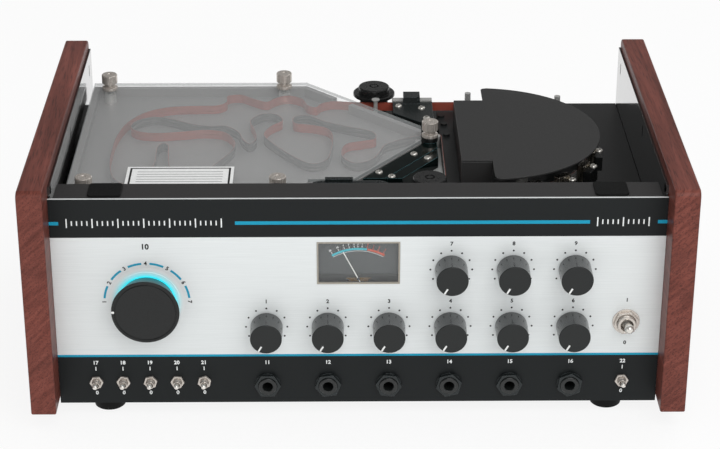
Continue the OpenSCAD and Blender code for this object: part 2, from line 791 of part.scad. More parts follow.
// Potentiometers: a can behind the bracket, a bushing and its nut
module pot(x, z) {
    color("#8c8f93") difference() {
        union() {
            bar_y(x, z, bracket_back, bracket_back + pot_d, pot_r);
            bar_y(x, z, panel_y - bush_out, bracket_back, bushing_r);
        }
        bar_y(x, z, panel_y - 6, bracket_back + pot_d - 2, shaft_r + run);
    }
    color("#b9b9b4") difference() {
        hex_y(x, z, panel_y - 2, panel_y, 11.5);
        bar_y(x, z, panel_y - 3, panel_y + 1, bushing_r);
    }
}

module pot_bodies() {
    for (p = knob_places) pot(p[0], p[1]);
}

// Knob with a hollow back, a shaft and a raised pointer at its lowest mark
pointer_at = -150;
module panel_knob(x, z, r, h, nick) {
    face = panel_y - h;
    color("#2c2c2e") difference() {
        union() {
            translate([x, panel_y - knob_gap, z]) rotate([90, 0, 0])
                cylinder(h = h - knob_gap, r1 = r, r2 = r - nick);
            translate([x, 0, z]) rotate([0, pointer_at, 0])
                block([-0.6, face - 0.3, r * 0.56], [0.6, face + 1, r - nick - 0.2]);
        }
        bar_y(x, z, panel_y - knob_hollow, panel_y + 1, knob_wall_r);
        bar_y(x, z, face + 3, panel_y + 1, shaft_r);
    }
    color("#9a9a9a") bar_y(x, z, face + 3, bracket_back + pot_d - 3, shaft_r);
}

module small_knob(i) {
    panel_knob(knob_places[i][0], knob_places[i][1], knob_r, knob_h, 0.3);
}

module knob_volume() { small_knob(0); }
module knob_rate() { small_knob(1); }
module knob_depth() { small_knob(2); }
module knob_reverb() { small_knob(3); }
module knob_speed() { small_knob(4); }
module knob_echo() { small_knob(5); }
module knob_bass() { small_knob(6); }
module knob_treble() { small_knob(7); }
module knob_feedback() { small_knob(8); }

// Mode knob pointing left to its first place, wider at its face, with a groove round the face
mode_face = panel_y - mode_h;
module mode_knob() {
    color("#202022") difference() {
        union() {
            translate([mode_at, panel_y - knob_gap, mode_z]) rotate([90, 0, 0])
                cylinder(h = mode_h - knob_gap, r1 = mode_base_r, r2 = mode_r);
            block([mode_at - mode_r + 0.3, mode_face - 0.3, mode_z - 0.8],
                [mode_at - mode_r + 1.9, mode_face + 1, mode_z + 0.8]);
        }
        difference() {
            bar_y(mode_at, mode_z, mode_face - 1, mode_face + 0.6, mode_r - 2);
            bar_y(mode_at, mode_z, mode_face - 2, mode_face + 2, mode_r - 2.7);
        }
        bar_y(mode_at, mode_z, panel_y - knob_hollow, panel_y + 1, mode_base_r - 2);
        bar_y(mode_at, mode_z, mode_face + 3, panel_y + 1, shaft_r);
    }
    color("#9a9a9a") bar_y(mode_at, mode_z, mode_face + 3, bracket_back + 14, shaft_r);
}

module mode_switch() {
    color("#3a3f3c") difference() {
        union() {
            bar_y(mode_at, mode_z, bracket_back, bracket_back + 20, 14);
            bar_y(mode_at, mode_z, panel_y - bush_out, bracket_back, bushing_r + 1);
        }
        bar_y(mode_at, mode_z, panel_y - 6, bracket_back + 15, shaft_r + run);
    }
    color("#b9b9b4") difference() {
        hex_y(mode_at, mode_z, panel_y - 2, panel_y, 14);
        bar_y(mode_at, mode_z, panel_y - 3, panel_y + 1, bushing_r + 1);
    }
}

// Light ring round the mode knob
module mode_halo() {
    color("#35c5dc") difference() {
        bar_y(mode_at, mode_z, panel_y - 0.3, panel_y, mode_base_r + 3.4);
        bar_y(mode_at, mode_z, panel_y - 1, panel_y + 1, mode_base_r - 1.5);
    }
}

module jack(x) {
    color("#18181a") difference() {
        union() {
            block([x - 8, bracket_back, jack_z - 8], [x + 8, bracket_back + 24, jack_z + 8]);
            bar_y(x, jack_z, jack_face, bracket_back, jack_bush_r);
        }
        bar_y(x, jack_z, jack_face - 1, jack_face + jack_depth, jack_bore_r);
    }
    color("#101011") difference() {
        union() {
            bar_y(x, jack_z, panel_y - 1, panel_y, jack_nut_d / 2 - 0.6);
            hex_y(x, jack_z, panel_y - 3.4, panel_y - 1, jack_nut_d);
        }
        bar_y(x, jack_z, panel_y - 5, panel_y + 1, jack_bush_r);
    }
}

module jack_sockets() {
    for (x = columns) jack(x);
}

// Small toggle switches
module toggle_bodies() {
    color("#7d2a26") for (p = toggle_places) difference() {
        union() {
            block([p[0] - 3.8, bracket_back, p[1] - 6], [p[0] + 3.8, bracket_back + 9, p[1] + 6]);
            bar_y(p[0], p[1], panel_y - 5.5, bracket_back, small_bushing);
        }
        bar_y(p[0], p[1], panel_y - 6, small_pivot + 2.4, small_cavity);
    }
}

module toggle_nuts() {
    color("#c6c4bd") {
        for (p = toggle_places) difference() {
            hex_y(p[0], p[1], panel_y - 1.8, panel_y, 9.2);
            bar_y(p[0], p[1], panel_y - 5, panel_y + 1, small_bushing);
        }
        difference() {
            union() {
                bar_y(power_at, power_z, panel_y - 1, panel_y, 8.75);
                hex_y(power_at, power_z, panel_y - 3.4, panel_y - 1, 16.5);
            }
            bar_y(power_at, power_z, panel_y - 5, panel_y + 1, power_bushing);
        }
    }
}

// Lever with a ball at its pivot, tilted up to on
module lever(x, z, pivot, ball, thin, tip, length) {
    translate([x, pivot, z]) rotate([90 - toggle_tilt, 0, 0]) union() {
        sphere(r = ball);
        cylinder(h = length - tip, r1 = thin, r2 = tip);
        translate([0, 0, length - tip]) sphere(r = tip);
    }
}

module small_lever(i) {
    color("#e3e1dc") lever(toggle_places[i][0], toggle_places[i][1], small_pivot,
        1.6, 0.8, 1.5, 13);
}

module lever_direct() { small_lever(0); }
module lever_motor() { small_lever(1); }
module lever_sound() { small_lever(2); }
module lever_echo() { small_lever(3); }
module lever_chorus() { small_lever(4); }
module lever_level() { small_lever(5); }
module lever_power() {
    color("#c9c7c0") lever(power_at, power_z, power_pivot, 3.6, 2, 3, 17.5);
}

module power_switch() {
    color("#2b2b2b") difference() {
        union() {
            block([power_at - 9, bracket_back, power_z - 15],
                [power_at + 9, bracket_back + 22, power_z + 15]);
            bar_y(power_at, power_z, panel_y - 6.5, bracket_back, power_bushing);
        }
        bar_y(power_at, power_z, panel_y - 7, power_pivot + 4.4, power_cavity);
    }
}

// Meter
module meter_case() {
    color("#17181a") difference() {
        block([-meter_case_w / 2, panel_back, meter_z - meter_case_h / 2],
            [meter_case_w / 2, panel_back + meter_case_d, meter_z + meter_case_h / 2]);
        block([-meter_w / 2 - 1, panel_back - 1, meter_z - meter_h / 2 - 1],
            [meter_w / 2 + 1, panel_back + meter_case_d - 2, meter_z + meter_h / 2 + 1]);
    }
}

module meter_dial() {
    color("#33383b") difference() {
        block([-meter_w / 2 - 0.9, dial_y, meter_z - meter_h / 2 - 0.9],
            [meter_w / 2 + 0.9, dial_y + 0.6, meter_z + meter_h / 2 + 0.9]);
        bar_y(0, meter_pivot_z, dial_y - 1, dial_y + 2, 1.3);
    }
    color("#b08d4c") difference() {
        block([-7, dial_y + 0.6, meter_pivot_z - 2.4], [7, dial_y + 14, meter_pivot_z + 10]);
        bar_y(0, meter_pivot_z, dial_y, dial_y + 8, 1);
    }
}

module meter_window() {
    color([0.85, 0.9, 0.95, 0.3])
        block([-meter_w / 2, panel_y + 0.3, meter_z - meter_h / 2],
            [meter_w / 2, panel_y + 1.3, meter_z + meter_h / 2]);
}

module meter_needle() {
    color("#e8e8e4") translate([0, 0, meter_pivot_z]) rotate([0, -meter_rest, 0]) union() {
        bar_y(0, 0, needle_y - 0.5, dial_y + 6, 0.9);
        block([-0.3, needle_y - 0.4, 0], [0.3, needle_y, 21]);
    }
}

// Mains inlet with three flat pins
module power_inlet() {
    color("#17171a") difference() {
        union() {
            block([inlet_x - inlet_body_w / 2, back_y - 26, inlet_z - inlet_body_h / 2],
                [inlet_x + inlet_body_w / 2, back_y + 1.5, inlet_z + inlet_body_h / 2]);
            block([inlet_x - 20, back_y, inlet_z - inlet_body_h / 2 - 2],
                [inlet_x + 20, back_y + 1.5, inlet_z + inlet_body_h / 2 + 2]);
        }
        block([inlet_x - inlet_w / 2, back_y - 15, inlet_z - inlet_h / 2],
            [inlet_x + inlet_w / 2, back_y + 3, inlet_z + inlet_h / 2]);
    }
    color("#b8b4a8") for (p = [[-7, -1.8], [0, 2.2], [7, -1.8]])
        translate([inlet_x + p[0], 0, inlet_z + p[1]])
            block([-1, back_y - 15, -2], [1, back_y - 7, 2]);
}

// Spring reverb pan: an open channel lying on the bottom, with its springs
pan_x0 = across(-150);
pan_x1 = across(85);
pan_y0 = along(36);
pan_y1 = along(120);
pan_h = 33;
module reverb_tank() {
    color("#9b9c98") difference() {
        block([pan_x0, pan_y0, floor_z], [pan_x1, pan_y1, floor_z + pan_h]);
        block([pan_x0 + sheet_t, pan_y0 + sheet_t, floor_z + sheet_t],
            [pan_x1 - sheet_t, pan_y1 - sheet_t, floor_z + pan_h + 1]);
    }
    color("#c2c2c2") for (k = [1:3]) {
        y = pan_y0 + k * (pan_y1 - pan_y0) / 4;
        block([pan_x0 + sheet_t, y - 6, floor_z + sheet_t], [pan_x0 + 16, y + 6, floor_z + 24]);
        block([pan_x1 - 16, y - 6, floor_z + sheet_t], [pan_x1 - sheet_t, y + 6, floor_z + 24]);
        translate([pan_x0 + 16, y, floor_z + 16]) rotate([0, 90, 0])
            cylinder(h = pan_x1 - pan_x0 - 32, r = 2.2);
    }
}

toroid_at = place([140, 50]);
toroid_r = 34;
toroid_h = 36;
module transformer() {
    color("#b57d2c") ring(toroid_at, floor_z, floor_z + toroid_h, toroid_r, 8);
    color("#8a8a8a") union() {
        disc(toroid_at, floor_z + toroid_h, floor_z + toroid_h + 2, 20);
        disc(toroid_at, floor_z, floor_z + toroid_h + 5, 3);
    }
}

board_x0 = across(-150);
board_x1 = across(96);
board_y0 = along(-76);
board_y1 = along(28);
chip_pitch = (board_x1 - board_x0) / 7;
chip_w = 18;
board_z = floor_z + 8;
module main_board() {
    color("#1d5b3c") block([board_x0, board_y0, board_z], [board_x1, board_y1, board_z + 1.6]);
    color("#c6c6c0") for (x = [board_x0 + 6, board_x1 - 6], y = [board_y0 + 6, board_y1 - 6])
        disc([x, y], floor_z, board_z, 3);
    color("#202020") for (i = [0:5], j = [0:1])
        translate([board_x0 + 20 + i * chip_pitch, board_y0 + 30 + j * 34, board_z + 1.6])
            cube([chip_w, 8, 4]);
}

left_cheek();
right_cheek();
chassis_tray();
front_bracket();
front_panel();
deck_plate();
lid_pads();
feet();
tank_base();
tank_cover();
deck_posts();
thumb_nuts();
tape_loop();
rail_plate();
tank_rails();
tape_guides();
head_base();
tape_heads();
head_shield();
deck_screws();
capstan_bearing();
motor();
drive_belt();
pot_bodies();
jack_sockets();
mode_switch();
mode_halo();
meter_case();
meter_dial();
meter_window();
toggle_bodies();
toggle_nuts();
power_switch();
power_inlet();
reverb_tank();
transformer();
main_board();
knob_volume();
knob_rate();
knob_depth();
knob_reverb();
knob_speed();
knob_echo();
knob_bass();
knob_treble();
knob_feedback();
mode_knob();
lever_direct();
lever_motor();
lever_sound();
lever_echo();
lever_chorus();
lever_level();
lever_power();
meter_needle();
rear_roller();
pinch_roller();
pinch_arm();
capstan();
motor_pulley();
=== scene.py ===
"""Looks of a tabletop tape echo unit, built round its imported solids."""

import math

import bmesh
import bpy
from bpy.props import FloatProperty, FloatVectorProperty, PointerProperty
from mathutils import Matrix, Vector


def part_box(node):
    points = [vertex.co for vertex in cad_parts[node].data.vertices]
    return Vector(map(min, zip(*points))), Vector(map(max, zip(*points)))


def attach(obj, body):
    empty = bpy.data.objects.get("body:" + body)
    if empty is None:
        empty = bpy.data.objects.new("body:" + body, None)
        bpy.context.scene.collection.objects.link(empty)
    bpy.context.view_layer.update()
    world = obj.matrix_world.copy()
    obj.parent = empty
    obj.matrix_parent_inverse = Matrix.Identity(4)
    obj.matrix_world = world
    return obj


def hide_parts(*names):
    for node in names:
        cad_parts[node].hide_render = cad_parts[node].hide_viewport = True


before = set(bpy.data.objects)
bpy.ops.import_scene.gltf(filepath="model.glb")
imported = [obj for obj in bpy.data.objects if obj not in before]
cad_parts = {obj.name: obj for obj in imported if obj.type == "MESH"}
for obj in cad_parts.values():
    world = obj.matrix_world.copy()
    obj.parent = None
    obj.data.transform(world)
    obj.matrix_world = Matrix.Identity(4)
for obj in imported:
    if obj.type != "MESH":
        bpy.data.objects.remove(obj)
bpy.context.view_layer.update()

bl_info = {
    "name": "Tape echo unit",
    "version": (1, 0),
    "blender": (4, 5, 0),
    "location": "3D View > Sidebar > Tape echo",
    "description": "Builds the visible pieces and finishes of a tape echo unit",
    "category": "Object",
}

# Sizes in millimetres, as the solids have them
MM = 0.001
INNER_X = 192.0
PANEL_Y = -113.5
BRACKET_Z = -3.5
PANEL_BASE = 10.0
PANEL_TOP = 154.3
SILVER_BASE = 45.2
STRIPE_BASE = 43.0
SILVER_TOP = 127.6
LINE_BASE = 136.1
LINE_TOP = 138.5
RULERS = ((-181.0, -82.0), (148.5, 180.5))
LINE_GAPS = ((-186.0, -77.2), (143.7, 184.8))
COLUMNS = [step * 38.8 for step in (-1.5, -0.5, 0.5, 1.5, 2.5, 3.5)]
LOW_ROW = 65.1
HIGH_ROW = 105.2
KNOBS = {
    "knob_volume": (COLUMNS[0], LOW_ROW),
    "knob_rate": (COLUMNS[1], LOW_ROW),
    "knob_depth": (COLUMNS[2], LOW_ROW),
    "knob_reverb": (COLUMNS[3], LOW_ROW),
    "knob_speed": (COLUMNS[4], LOW_ROW),
    "knob_echo": (COLUMNS[5], LOW_ROW),
    "knob_bass": (COLUMNS[3], HIGH_ROW),
    "knob_treble": (COLUMNS[4], HIGH_ROW),
    "knob_feedback": (COLUMNS[5], HIGH_ROW),
}
KNOB_TURN = 150
MODE_AT = (-133.2, 83.3)
# Radii of the halo: full light out to the first; from there to the second the ring's thin skin on the
# silver carries a painted glow that fades
HALO_CORE = 17.6
HALO_R = 23.6
JACK_Z = 23.4
TOGGLE_Z = 25.6
TOGGLES = {
    "lever_direct": -168.0,
    "lever_motor": -150.7,
    "lever_sound": -133.4,
    "lever_echo": -116.1,
    "lever_chorus": -98.8,
    "lever_level": 169.3,
}
POWER_AT = (169.9, 68.1)
LEVER_TILT = 77.5
METER_Z = 109.8
METER_W = 52.2
METER_H = 29.4
DIAL_Y = -108.9
ARC_Z = 85.9
NEEDLE_PIVOT = 97.3
NEEDLE_REST = 27.0
TANK_TOP = 137.0
COVER_TOP = 140.0
NUT_TOP = 151.5
TANK_OUTLINE = [
    (-187.4, -82), (-32, -82), (-32, -50.9), (-2.6, -50.9),
    (43.7, 13.8), (44.6, 37.3), (-34.8, 119.3), (-187.4, 119.3),
]
TANK_STUDS = [(-175, 106.7), (-50.8, 108.6), (-174.3, -72), (-51, -72)]
APEX_STUD = (49.6, 18.3)
STUD_R = 2.0
SLANT_FROM = Vector((-2.6, -50.9))
SLANT_TO = Vector((43.7, 13.8))
ARC_AT = (92.0, 2.0)
ARC_R = 62.0
TURN_GAP = 0.5
HEAD_ANGLES = [44, 18, -7, -29, -51, -71]
HEAD_PLATE = 127.9
SHIELD_AT = (84.0, 3.8)
SHIELD_R = 78.2
ROLLER_AT = (13.1, 99.0)
PINCH_AT = (46.5, -58.0)
PINCH_R = 10.6
CAPSTAN_R = 4.5
METER_SCALE = {
    -30: "20", -22: "10", -15.5: "7", -10: "5", -4.5: "3", -0.5: "2", 4: "1", 9.8: "0",
    16: "1", 22: "2", 28.5: "3",
}
RED_FROM = 9

# Radii of the bushings that stand through the faceplate, the room round them, and the step from a
# ridge of their threads to the next groove
KNOB_BUSH = 3.5
MODE_BUSH = 4.5
JACK_BUSH = 5.9
TOGGLE_BUSH = 2.6
POWER_BUSH = 5.9
HOLE_ROOM = 0.1
NUT_ROOM = 0.05
THREAD_STEP = 0.3

# Thickness of the print, and the angle in degrees above which an edge is drawn sharp
INK = 0.06
SHARP = 32.0

# How much of the paper's own white the eye and the mirrors see, against its shaded tone
PAPER_GLOW = 0.86


# Colours and the one node helper

SPAN = ("From Min", "From Max", "To Min", "To Max")


def linear(colour):
    """Turns an sRGB hex colour to linear"""
    parts = [int(colour[i : i + 2], 16) / 255 for i in (1, 3, 5)]
    return [p / 12.92 if p <= 0.04045 else ((p + 0.055) / 1.055) ** 2.4 for p in parts] + [1.0]


def node(tree, kind, feeds=None, stops=None, span=(), **settings):
    """Adds a node: feeds has a value, a node or an output for its sockets, stops the colours of a ramp,
    span the ends of a range before and after it is mapped"""
    made = tree.nodes.new("ShaderNode" + kind)
    for name, value in settings.items():
        setattr(made, name, value)
    if stops:
        ramp = made.color_ramp
        while len(ramp.elements) < len(stops):
            ramp.elements.new(1.0)
        for element, (position, colour) in zip(ramp.elements, stops):
            element.position = position
            element.color = linear(colour) if isinstance(colour, str) else colour
    for socket, value in {**(feeds or {}), **dict(zip(SPAN, span))}.items():
        if isinstance(value, bpy.types.Node):
            value = value.outputs[0]
        if isinstance(value, bpy.types.NodeSocket):
            tree.links.new(value, made.inputs[socket])
        else:
            made.inputs[socket].default_value = value
    return made


def material(name, shade):
    """Gives the material of that name; shade fills its empty tree the first time and returns the shader"""
    made = bpy.data.materials.get(name)
    if made is None:
        made = bpy.data.materials.new(name)
        made.use_nodes = True
        made.node_tree.nodes.clear()
        surface = shade(made.node_tree)
        node(made.node_tree, "OutputMaterial", {"Surface": surface})
    return made


def grain(tree, size, stretch=(1, 1, 1), detail=3.0, turn=(0, 0, 0)):
    """Noise whose lumps have a size in millimetres, drawn out by stretch along axes that may be turned"""
    place = node(tree, "TexCoord").outputs["Object"]
    lumps = [size * MM * share for share in stretch]
    spread = node(tree, "Mapping", {"Vector": place, "Scale": lumps, "Rotation": turn},
                  vector_type="TEXTURE")
    feeds = {"Vector": spread, "Scale": 1.0, "Detail": detail}
    return node(tree, "TexNoise", feeds).outputs["Fac"]


def worked(name, dark, light, size, roughness, spread=0.06, bump=0.02, stretch=(1, 1, 1),
           edge=0.25, wear=None, **sockets):
    """A finish whose tone, gloss and relief follow the grain of its making, with eased edges that a given
    colour lightens, as wear and painted highlight together
    """

    def shade(tree):
        lumps = grain(tree, size, stretch)
        tone = node(tree, "ValToRGB", {"Fac": lumps}, [(0.3, dark), (0.7, light)])
        gloss = node(tree, "MapRange", {"Value": lumps},
                     span=(0.3, 0.7, roughness - spread, roughness + spread))
        eased = node(tree, "Bevel", {"Radius": edge * MM}, samples=4)
        relief = {"Height": lumps, "Strength": 0.5, "Distance": bump * MM, "Normal": eased}
        colour = tone
        # Painted highlight and wear along the edges: where the rounded normal leaves the flat one, the
        # colour is mixed toward the edge colour
        if wear:
            flat = node(tree, "NewGeometry").outputs["Normal"]
            bend = node(tree, "VectorMath", {0: eased, 1: flat}, operation="DOT_PRODUCT")
            rubbed_and_lit_edge = node(tree, "MapRange", {"Value": bend.outputs["Value"]}, span=(0.97, 0.8, 0.0, 0.7))
            colour = node(tree, "Mix", {"Factor": rubbed_and_lit_edge, 6: colour, 7: linear(wear)},
                          data_type="RGBA").outputs[2]
        feeds = {
            "Base Color": colour,
            "Roughness": gloss,
            "Normal": node(tree, "Bump", relief),
        }
        feeds.update({socket.replace("_", " "): value for socket, value in sockets.items()})
        return node(tree, "BsdfPrincipled", feeds)

    return material(name, shade)


# Finishes


def stained_mahogany(settings):
    """Mahogany, stained and satin lacquered: leaning rings on the ends, lines along the depth"""

    def shade(tree):
        lean = (0.02, 0.8, 0.03)
        figure = grain(tree, 2.6, (1, 50, 7), 4.0, lean)
        pores = grain(tree, 0.55, (1, 26, 2.5), 2.0, lean)
        cloud = grain(tree, 30, (0.6, 4, 1.2), 3.0, lean)
        tone = node(tree, "ValToRGB", {"Fac": figure},
                    [(0.32, (*settings.wood_dark, 1.0)), (0.68, (*settings.wood_light, 1.0))])
        drift = node(tree, "MapRange", {"Value": cloud}, span=(0.3, 0.7, 0.8, 1.18))
        clouded = node(tree, "VectorMath", {0: tone, 3: drift}, operation="SCALE")
        pitted = node(tree, "MapRange", {"Value": pores}, span=(0.34, 0.48, 0.55, 0.0))
        colour = node(tree, "Mix", {"Factor": pitted, 6: clouded, 7: linear("#2c1512")},
                      data_type="RGBA")
        relief = node(tree, "Bump", {"Height": pores, "Strength": 0.35, "Distance": 0.08 * MM})
        return node(tree, "BsdfPrincipled", {
            "Base Color": colour.outputs[2], "Roughness": 0.45, "Specular IOR Level": 0.2,
            "Coat Weight": 0.08, "Coat Roughness": 0.2, "Normal": relief})

    return material("Mahogany, stained and satin lacquered", shade)


def printed_aluminium(settings):
    """Satin anodised aluminium, silk-screened: a bare silver field, matt black and teal bands of ink"""

    def shade(tree):
        tall, wide = 200, 400
        sight = node(tree, "TexCoord")
        place = node(tree, "SeparateXYZ", {0: sight.outputs["Object"]})
        facing = node(tree, "SeparateXYZ", {0: sight.outputs["Normal"]})
        height = node(tree, "MapRange", {"Value": place.outputs[2]}, span=(0.0, tall * MM))
        across = node(tree, "MapRange", {"Value": place}, span=(-wide / 2 * MM, wide / 2 * MM))
        white, none = (1, 1, 1, 1), (0, 0, 0, 1)
        ink = node(tree, "ValToRGB", {"Fac": height},
                   [(0.0, white), (SILVER_BASE / tall, none), (SILVER_TOP / tall, white)])
        stripe = node(tree, "ValToRGB", {"Fac": height}, [
            (0.0, none), (STRIPE_BASE / tall, white), (SILVER_BASE / tall, none),
            (LINE_BASE / tall, (0.5, 0.5, 0.5, 1)), (LINE_TOP / tall, none)])
        ends = [(x + wide / 2) / wide for gap in LINE_GAPS for x in gap]
        runs = node(tree, "ValToRGB", {"Fac": across},
                    [(0.0, white), *zip(ends, (none, white) * len(LINE_GAPS))])
        for ramp in (ink, stripe, runs):
            ramp.color_ramp.interpolation = "CONSTANT"
        lower = node(tree, "Math", {0: place.outputs[2], 1: 0.1}, operation="LESS_THAN")
        gate = node(tree, "Math", {0: runs, 1: lower}, operation="MAXIMUM")
        lined = node(tree, "Math", {0: stripe, 1: 0.4}, operation="GREATER_THAN")
        teal = node(tree, "Math", {0: lined, 1: gate}, operation="MULTIPLY")
        front = node(tree, "Math", {0: facing.outputs[1], 1: -0.75}, operation="LESS_THAN")
        inked = node(tree, "Math", {0: ink, 1: front}, operation="MULTIPLY")
        brushed = grain(tree, 0.3, (90, 1, 1), 2.0)
        silver = node(tree, "ValToRGB", {"Fac": brushed},
                      [(0.3, (*settings.silver_dark, 1.0)), (0.7, (*settings.silver_light, 1.0))])
        dye = node(tree, "Mix", {
            "Factor": teal, 6: (*settings.print_black, 1.0),
            7: (*settings.print_teal, 1.0)}, data_type="RGBA")
        colour = node(tree, "Mix", {"Factor": inked, 6: silver, 7: dye.outputs[2]},
                      data_type="RGBA")
        bare = node(tree, "Math", {0: 1.0, 1: inked}, operation="SUBTRACT")
        metal = node(tree, "Math", {0: bare, 1: 0.2}, operation="MULTIPLY")
        gloss = node(tree, "MapRange", {"Value": inked}, span=(0.0, 1.0, 0.42, 0.5))
        relief = node(tree, "Bump", {"Height": brushed, "Strength": 0.05, "Distance": 0.01 * MM})
        return node(tree, "BsdfPrincipled", {
            "Base Color": colour.outputs[2], "Metallic": metal,
            "Roughness": gloss, "Specular IOR Level": 0.25,
            "Normal": relief})

    return material("Aluminium, satin anodised and silk-screened", shade)


def screen_ink(name, colour):
    """Silk-screen ink, matt and a little uneven where the mesh laid it"""
    return worked("Silk-screen ink, " + name, colour, colour, 0.3, 0.55, bump=0.004,
                  Specular_IOR_Level=0.3)


def powder_coat(name, dark, light, roughness=0.5, **sockets):
    """Powder-coated sheet steel: a fine even orange peel that spreads the light"""
    return worked("Steel, powder coated " + name, dark, light, 0.7, roughness, bump=0.03,
                  edge=0.5, **sockets)


def chassis_black():
    """The deeper gloss coat inside the cabinet, which mirrors the room along its walls"""
    return powder_coat("black", "#0b0c0c", "#101111", 0.16, Coat_Weight=1.0, Coat_Roughness=0.04,
                       Coat_IOR=1.9)


def deck_black():
    """The satin black coat of the deck plate"""
    return powder_coat("satin black", "#0d0e0e", "#121313", 0.4, Specular_IOR_Level=0.3)


def shelf_grey():
    """The satin dark grey coat of the shelf and its folded edges"""
    return powder_coat("dark grey", "#2b2a2a", "#302f2f", 0.5, Specular_IOR_Level=0.35)


def turned_nickel():
    """Nickel-plated brass, turned: warm bright metal with fine rings and soft bright edges"""
    return worked("Brass, nickel plated and turned", "#c6beb6", "#dad3cb", 0.5, 0.24,
                  stretch=(1, 1, 12), bump=0.003, Metallic=0.6)


def polished_nickel():
    """Nickel plate polished smooth, for levers and screw heads: small hard highlights"""
    return worked("Brass, nickel plated and polished", "#dedad3", "#ebe8e2", 2.0, 0.15,
                  spread=0.04, bump=0.004, Metallic=0.7)


def black_plate():
    """Black chromate on brass, for jack nuts: dark with a dull metal glint on the flats, and a painted
    highlight along the edges
    """
    return worked("Brass, black chromated", "#202425", "#2b3031", 0.5, 0.26, bump=0.01,
                  wear="#5a6264", Metallic=0.35)


def moulded_black(name="ABS, moulded black", roughness=0.38, **sockets):
    """ABS, moulded black: a very fine spark-eroded texture that greys under the softbox"""
    return worked(name, "#191b1b", "#1f2222", 0.35, roughness, bump=0.012, **sockets)


def moulded_white():
    """ABS, moulded white: a plain bright line on a knob"""
    return worked("ABS, moulded white", "#e4e6e4", "#eef0ee", 1.0, 0.4)


def turned_black():
    """Black acetal, turned: satin rings, a crisp line of light on each edge"""
    return worked("Acetal, black, turned", "#0f1010", "#171818", 0.3, 0.3, stretch=(8, 8, 1),
                  bump=0.01, edge=0.35)


def smoked_glass_black():
    """Black acrylic with a green cast, polished: mirror-dark bars with sharp reflections, and a painted
    teal highlight along the edges
    """
    return worked("Acrylic, dark green black, polished", "#060d0c", "#0a1312", 6.0, 0.08,
                  spread=0.03, bump=0.003, edge=0.45, wear="#6fa0a8", Specular_IOR_Level=0.2)


def brushed_plate():
    """Brushed aluminium: straight bright hairlines along the depth"""
    return worked("Aluminium, brushed", "#a8aaa8", "#e0e2df", 0.5, 0.4, stretch=(1, 90, 1),
                  bump=0.015, Metallic=0.3)


def tank_metal():
    """Bead-blasted aluminium: an even pale grey without direction, with a painted highlight along the
    edges
    """
    return worked("Aluminium, bead blasted", "#807f7e", "#898887", 0.8, 0.45, bump=0.01,
                  edge=0.3, wear="#c4c4c4", Metallic=0.15)


def rubber():
    """Black rubber, moulded: dull, with a dusty bloom"""
    return worked("Rubber, moulded black", "#0a0b0b", "#101110", 1.2, 0.6, bump=0.03,
                  Specular_IOR_Level=0.15)


def clear_acrylic(name, tint, veil):
    """Clear sheet, cast: what is under it shows straight through a thin pale veil, a painted reflection of
    the white room, made uneven as fine scratches
    """

    def shade(tree):
        scratches = grain(tree, 1.4, (6, 1, 1), 3.0, (0, 0, 0.6))
        # Painted reflection: the pale tint laid over what lies under the sheet, at this share, stands for
        # the room mirrored in it; the noise varies it as fine scratches
        cover = node(tree, "MapRange", {"Value": scratches}, span=(0.3, 0.7, veil * 0.92, veil * 1.08))
        return node(tree, "BsdfPrincipled", {
            "Base Color": linear(tint), "Roughness": 0.06, "IOR": 1.49,
            "Coat Weight": 1.0, "Coat Roughness": 0.02, "Alpha": cover})

    return material(name, shade)


def halo_glow(panel):
    """Light guide, lit: full colour and light beside the knob, and a painted glow that dies away on the
    silver round it
    """

    def shade(tree):
        place = node(tree, "TexCoord").outputs["Object"]
        centred = node(tree, "VectorMath", {
            0: place, 1: (MODE_AT[0] * MM, PANEL_Y * MM, MODE_AT[1] * MM)}, operation="SUBTRACT")
        away = node(tree, "VectorMath", {0: centred}, operation="LENGTH")
        # Painted light: past the core, the skin over the silver takes the halo's colour and emission,
        # fading outward, for the light the ring spills on the panel
        painted_spill = node(tree, "MapRange", {"Value": away.outputs["Value"]},
                    span=(HALO_CORE * MM, HALO_R * MM, 1.0, 0.0))
        lit = (*panel.halo, 1.0)
        soft = node(tree, "Math", {0: painted_spill, 1: 2.2}, operation="POWER")
        strength = node(tree, "Math", {0: soft, 1: 0.7}, operation="MULTIPLY")
        skin = node(tree, "Mix", {"Factor": soft, 6: (*panel.silver_light, 1.0), 7: lit},
                    data_type="RGBA")
        return node(tree, "BsdfPrincipled", {
            "Base Color": skin.outputs[2], "Roughness": 0.4, "Metallic": 0.0,
            "Emission Color": lit, "Emission Strength": strength})

    return material("Acrylic light guide, lit, with painted glow round it", shade)


# Shaping in millimetres


def block(bm, low, high):
    """A box between two corners"""
    low, high = Vector(low), Vector(high)
    made = bmesh.ops.create_cube(bm, size=1.0)["verts"]
    bmesh.ops.scale(bm, vec=high - low, verts=made)
    bmesh.ops.translate(bm, vec=(low + high) / 2, verts=made)


def disc(bm, at, z0, z1, r, steps):
    """An upright round bar"""
    place = Matrix.Translation((at[0], at[1], (z0 + z1) / 2))
    bmesh.ops.create_cone(bm, cap_ends=True, cap_tris=False, segments=steps, radius1=r, radius2=r,
                          depth=z1 - z0, matrix=place)


def lathe(bm, at, profile, steps=48):
    """Turns a profile of (radius, height) round the upright line through at"""
    points = [bm.verts.new((at[0] + r, at[1], z)) for r, z in profile]
    lines = [bm.edges.new(pair) for pair in zip(points, points[1:])]
    if profile[0][0] > 0:
        lines.append(bm.edges.new((points[-1], points[0])))
    bmesh.ops.spin(bm, geom=points + lines, cent=(at[0], at[1], 0), axis=(0, 0, 1),
                   angle=math.tau, steps=steps, use_merge=True)
    bmesh.ops.remove_doubles(bm, verts=bm.verts, dist=0.0005)


def ring_points(at, r, steps, start=0.0):
    """The corners of a regular polygon"""
    turns = [start + math.tau * i / steps for i in range(steps)]
    return [(at[0] + r * math.cos(t), at[1] + r * math.sin(t)) for t in turns]


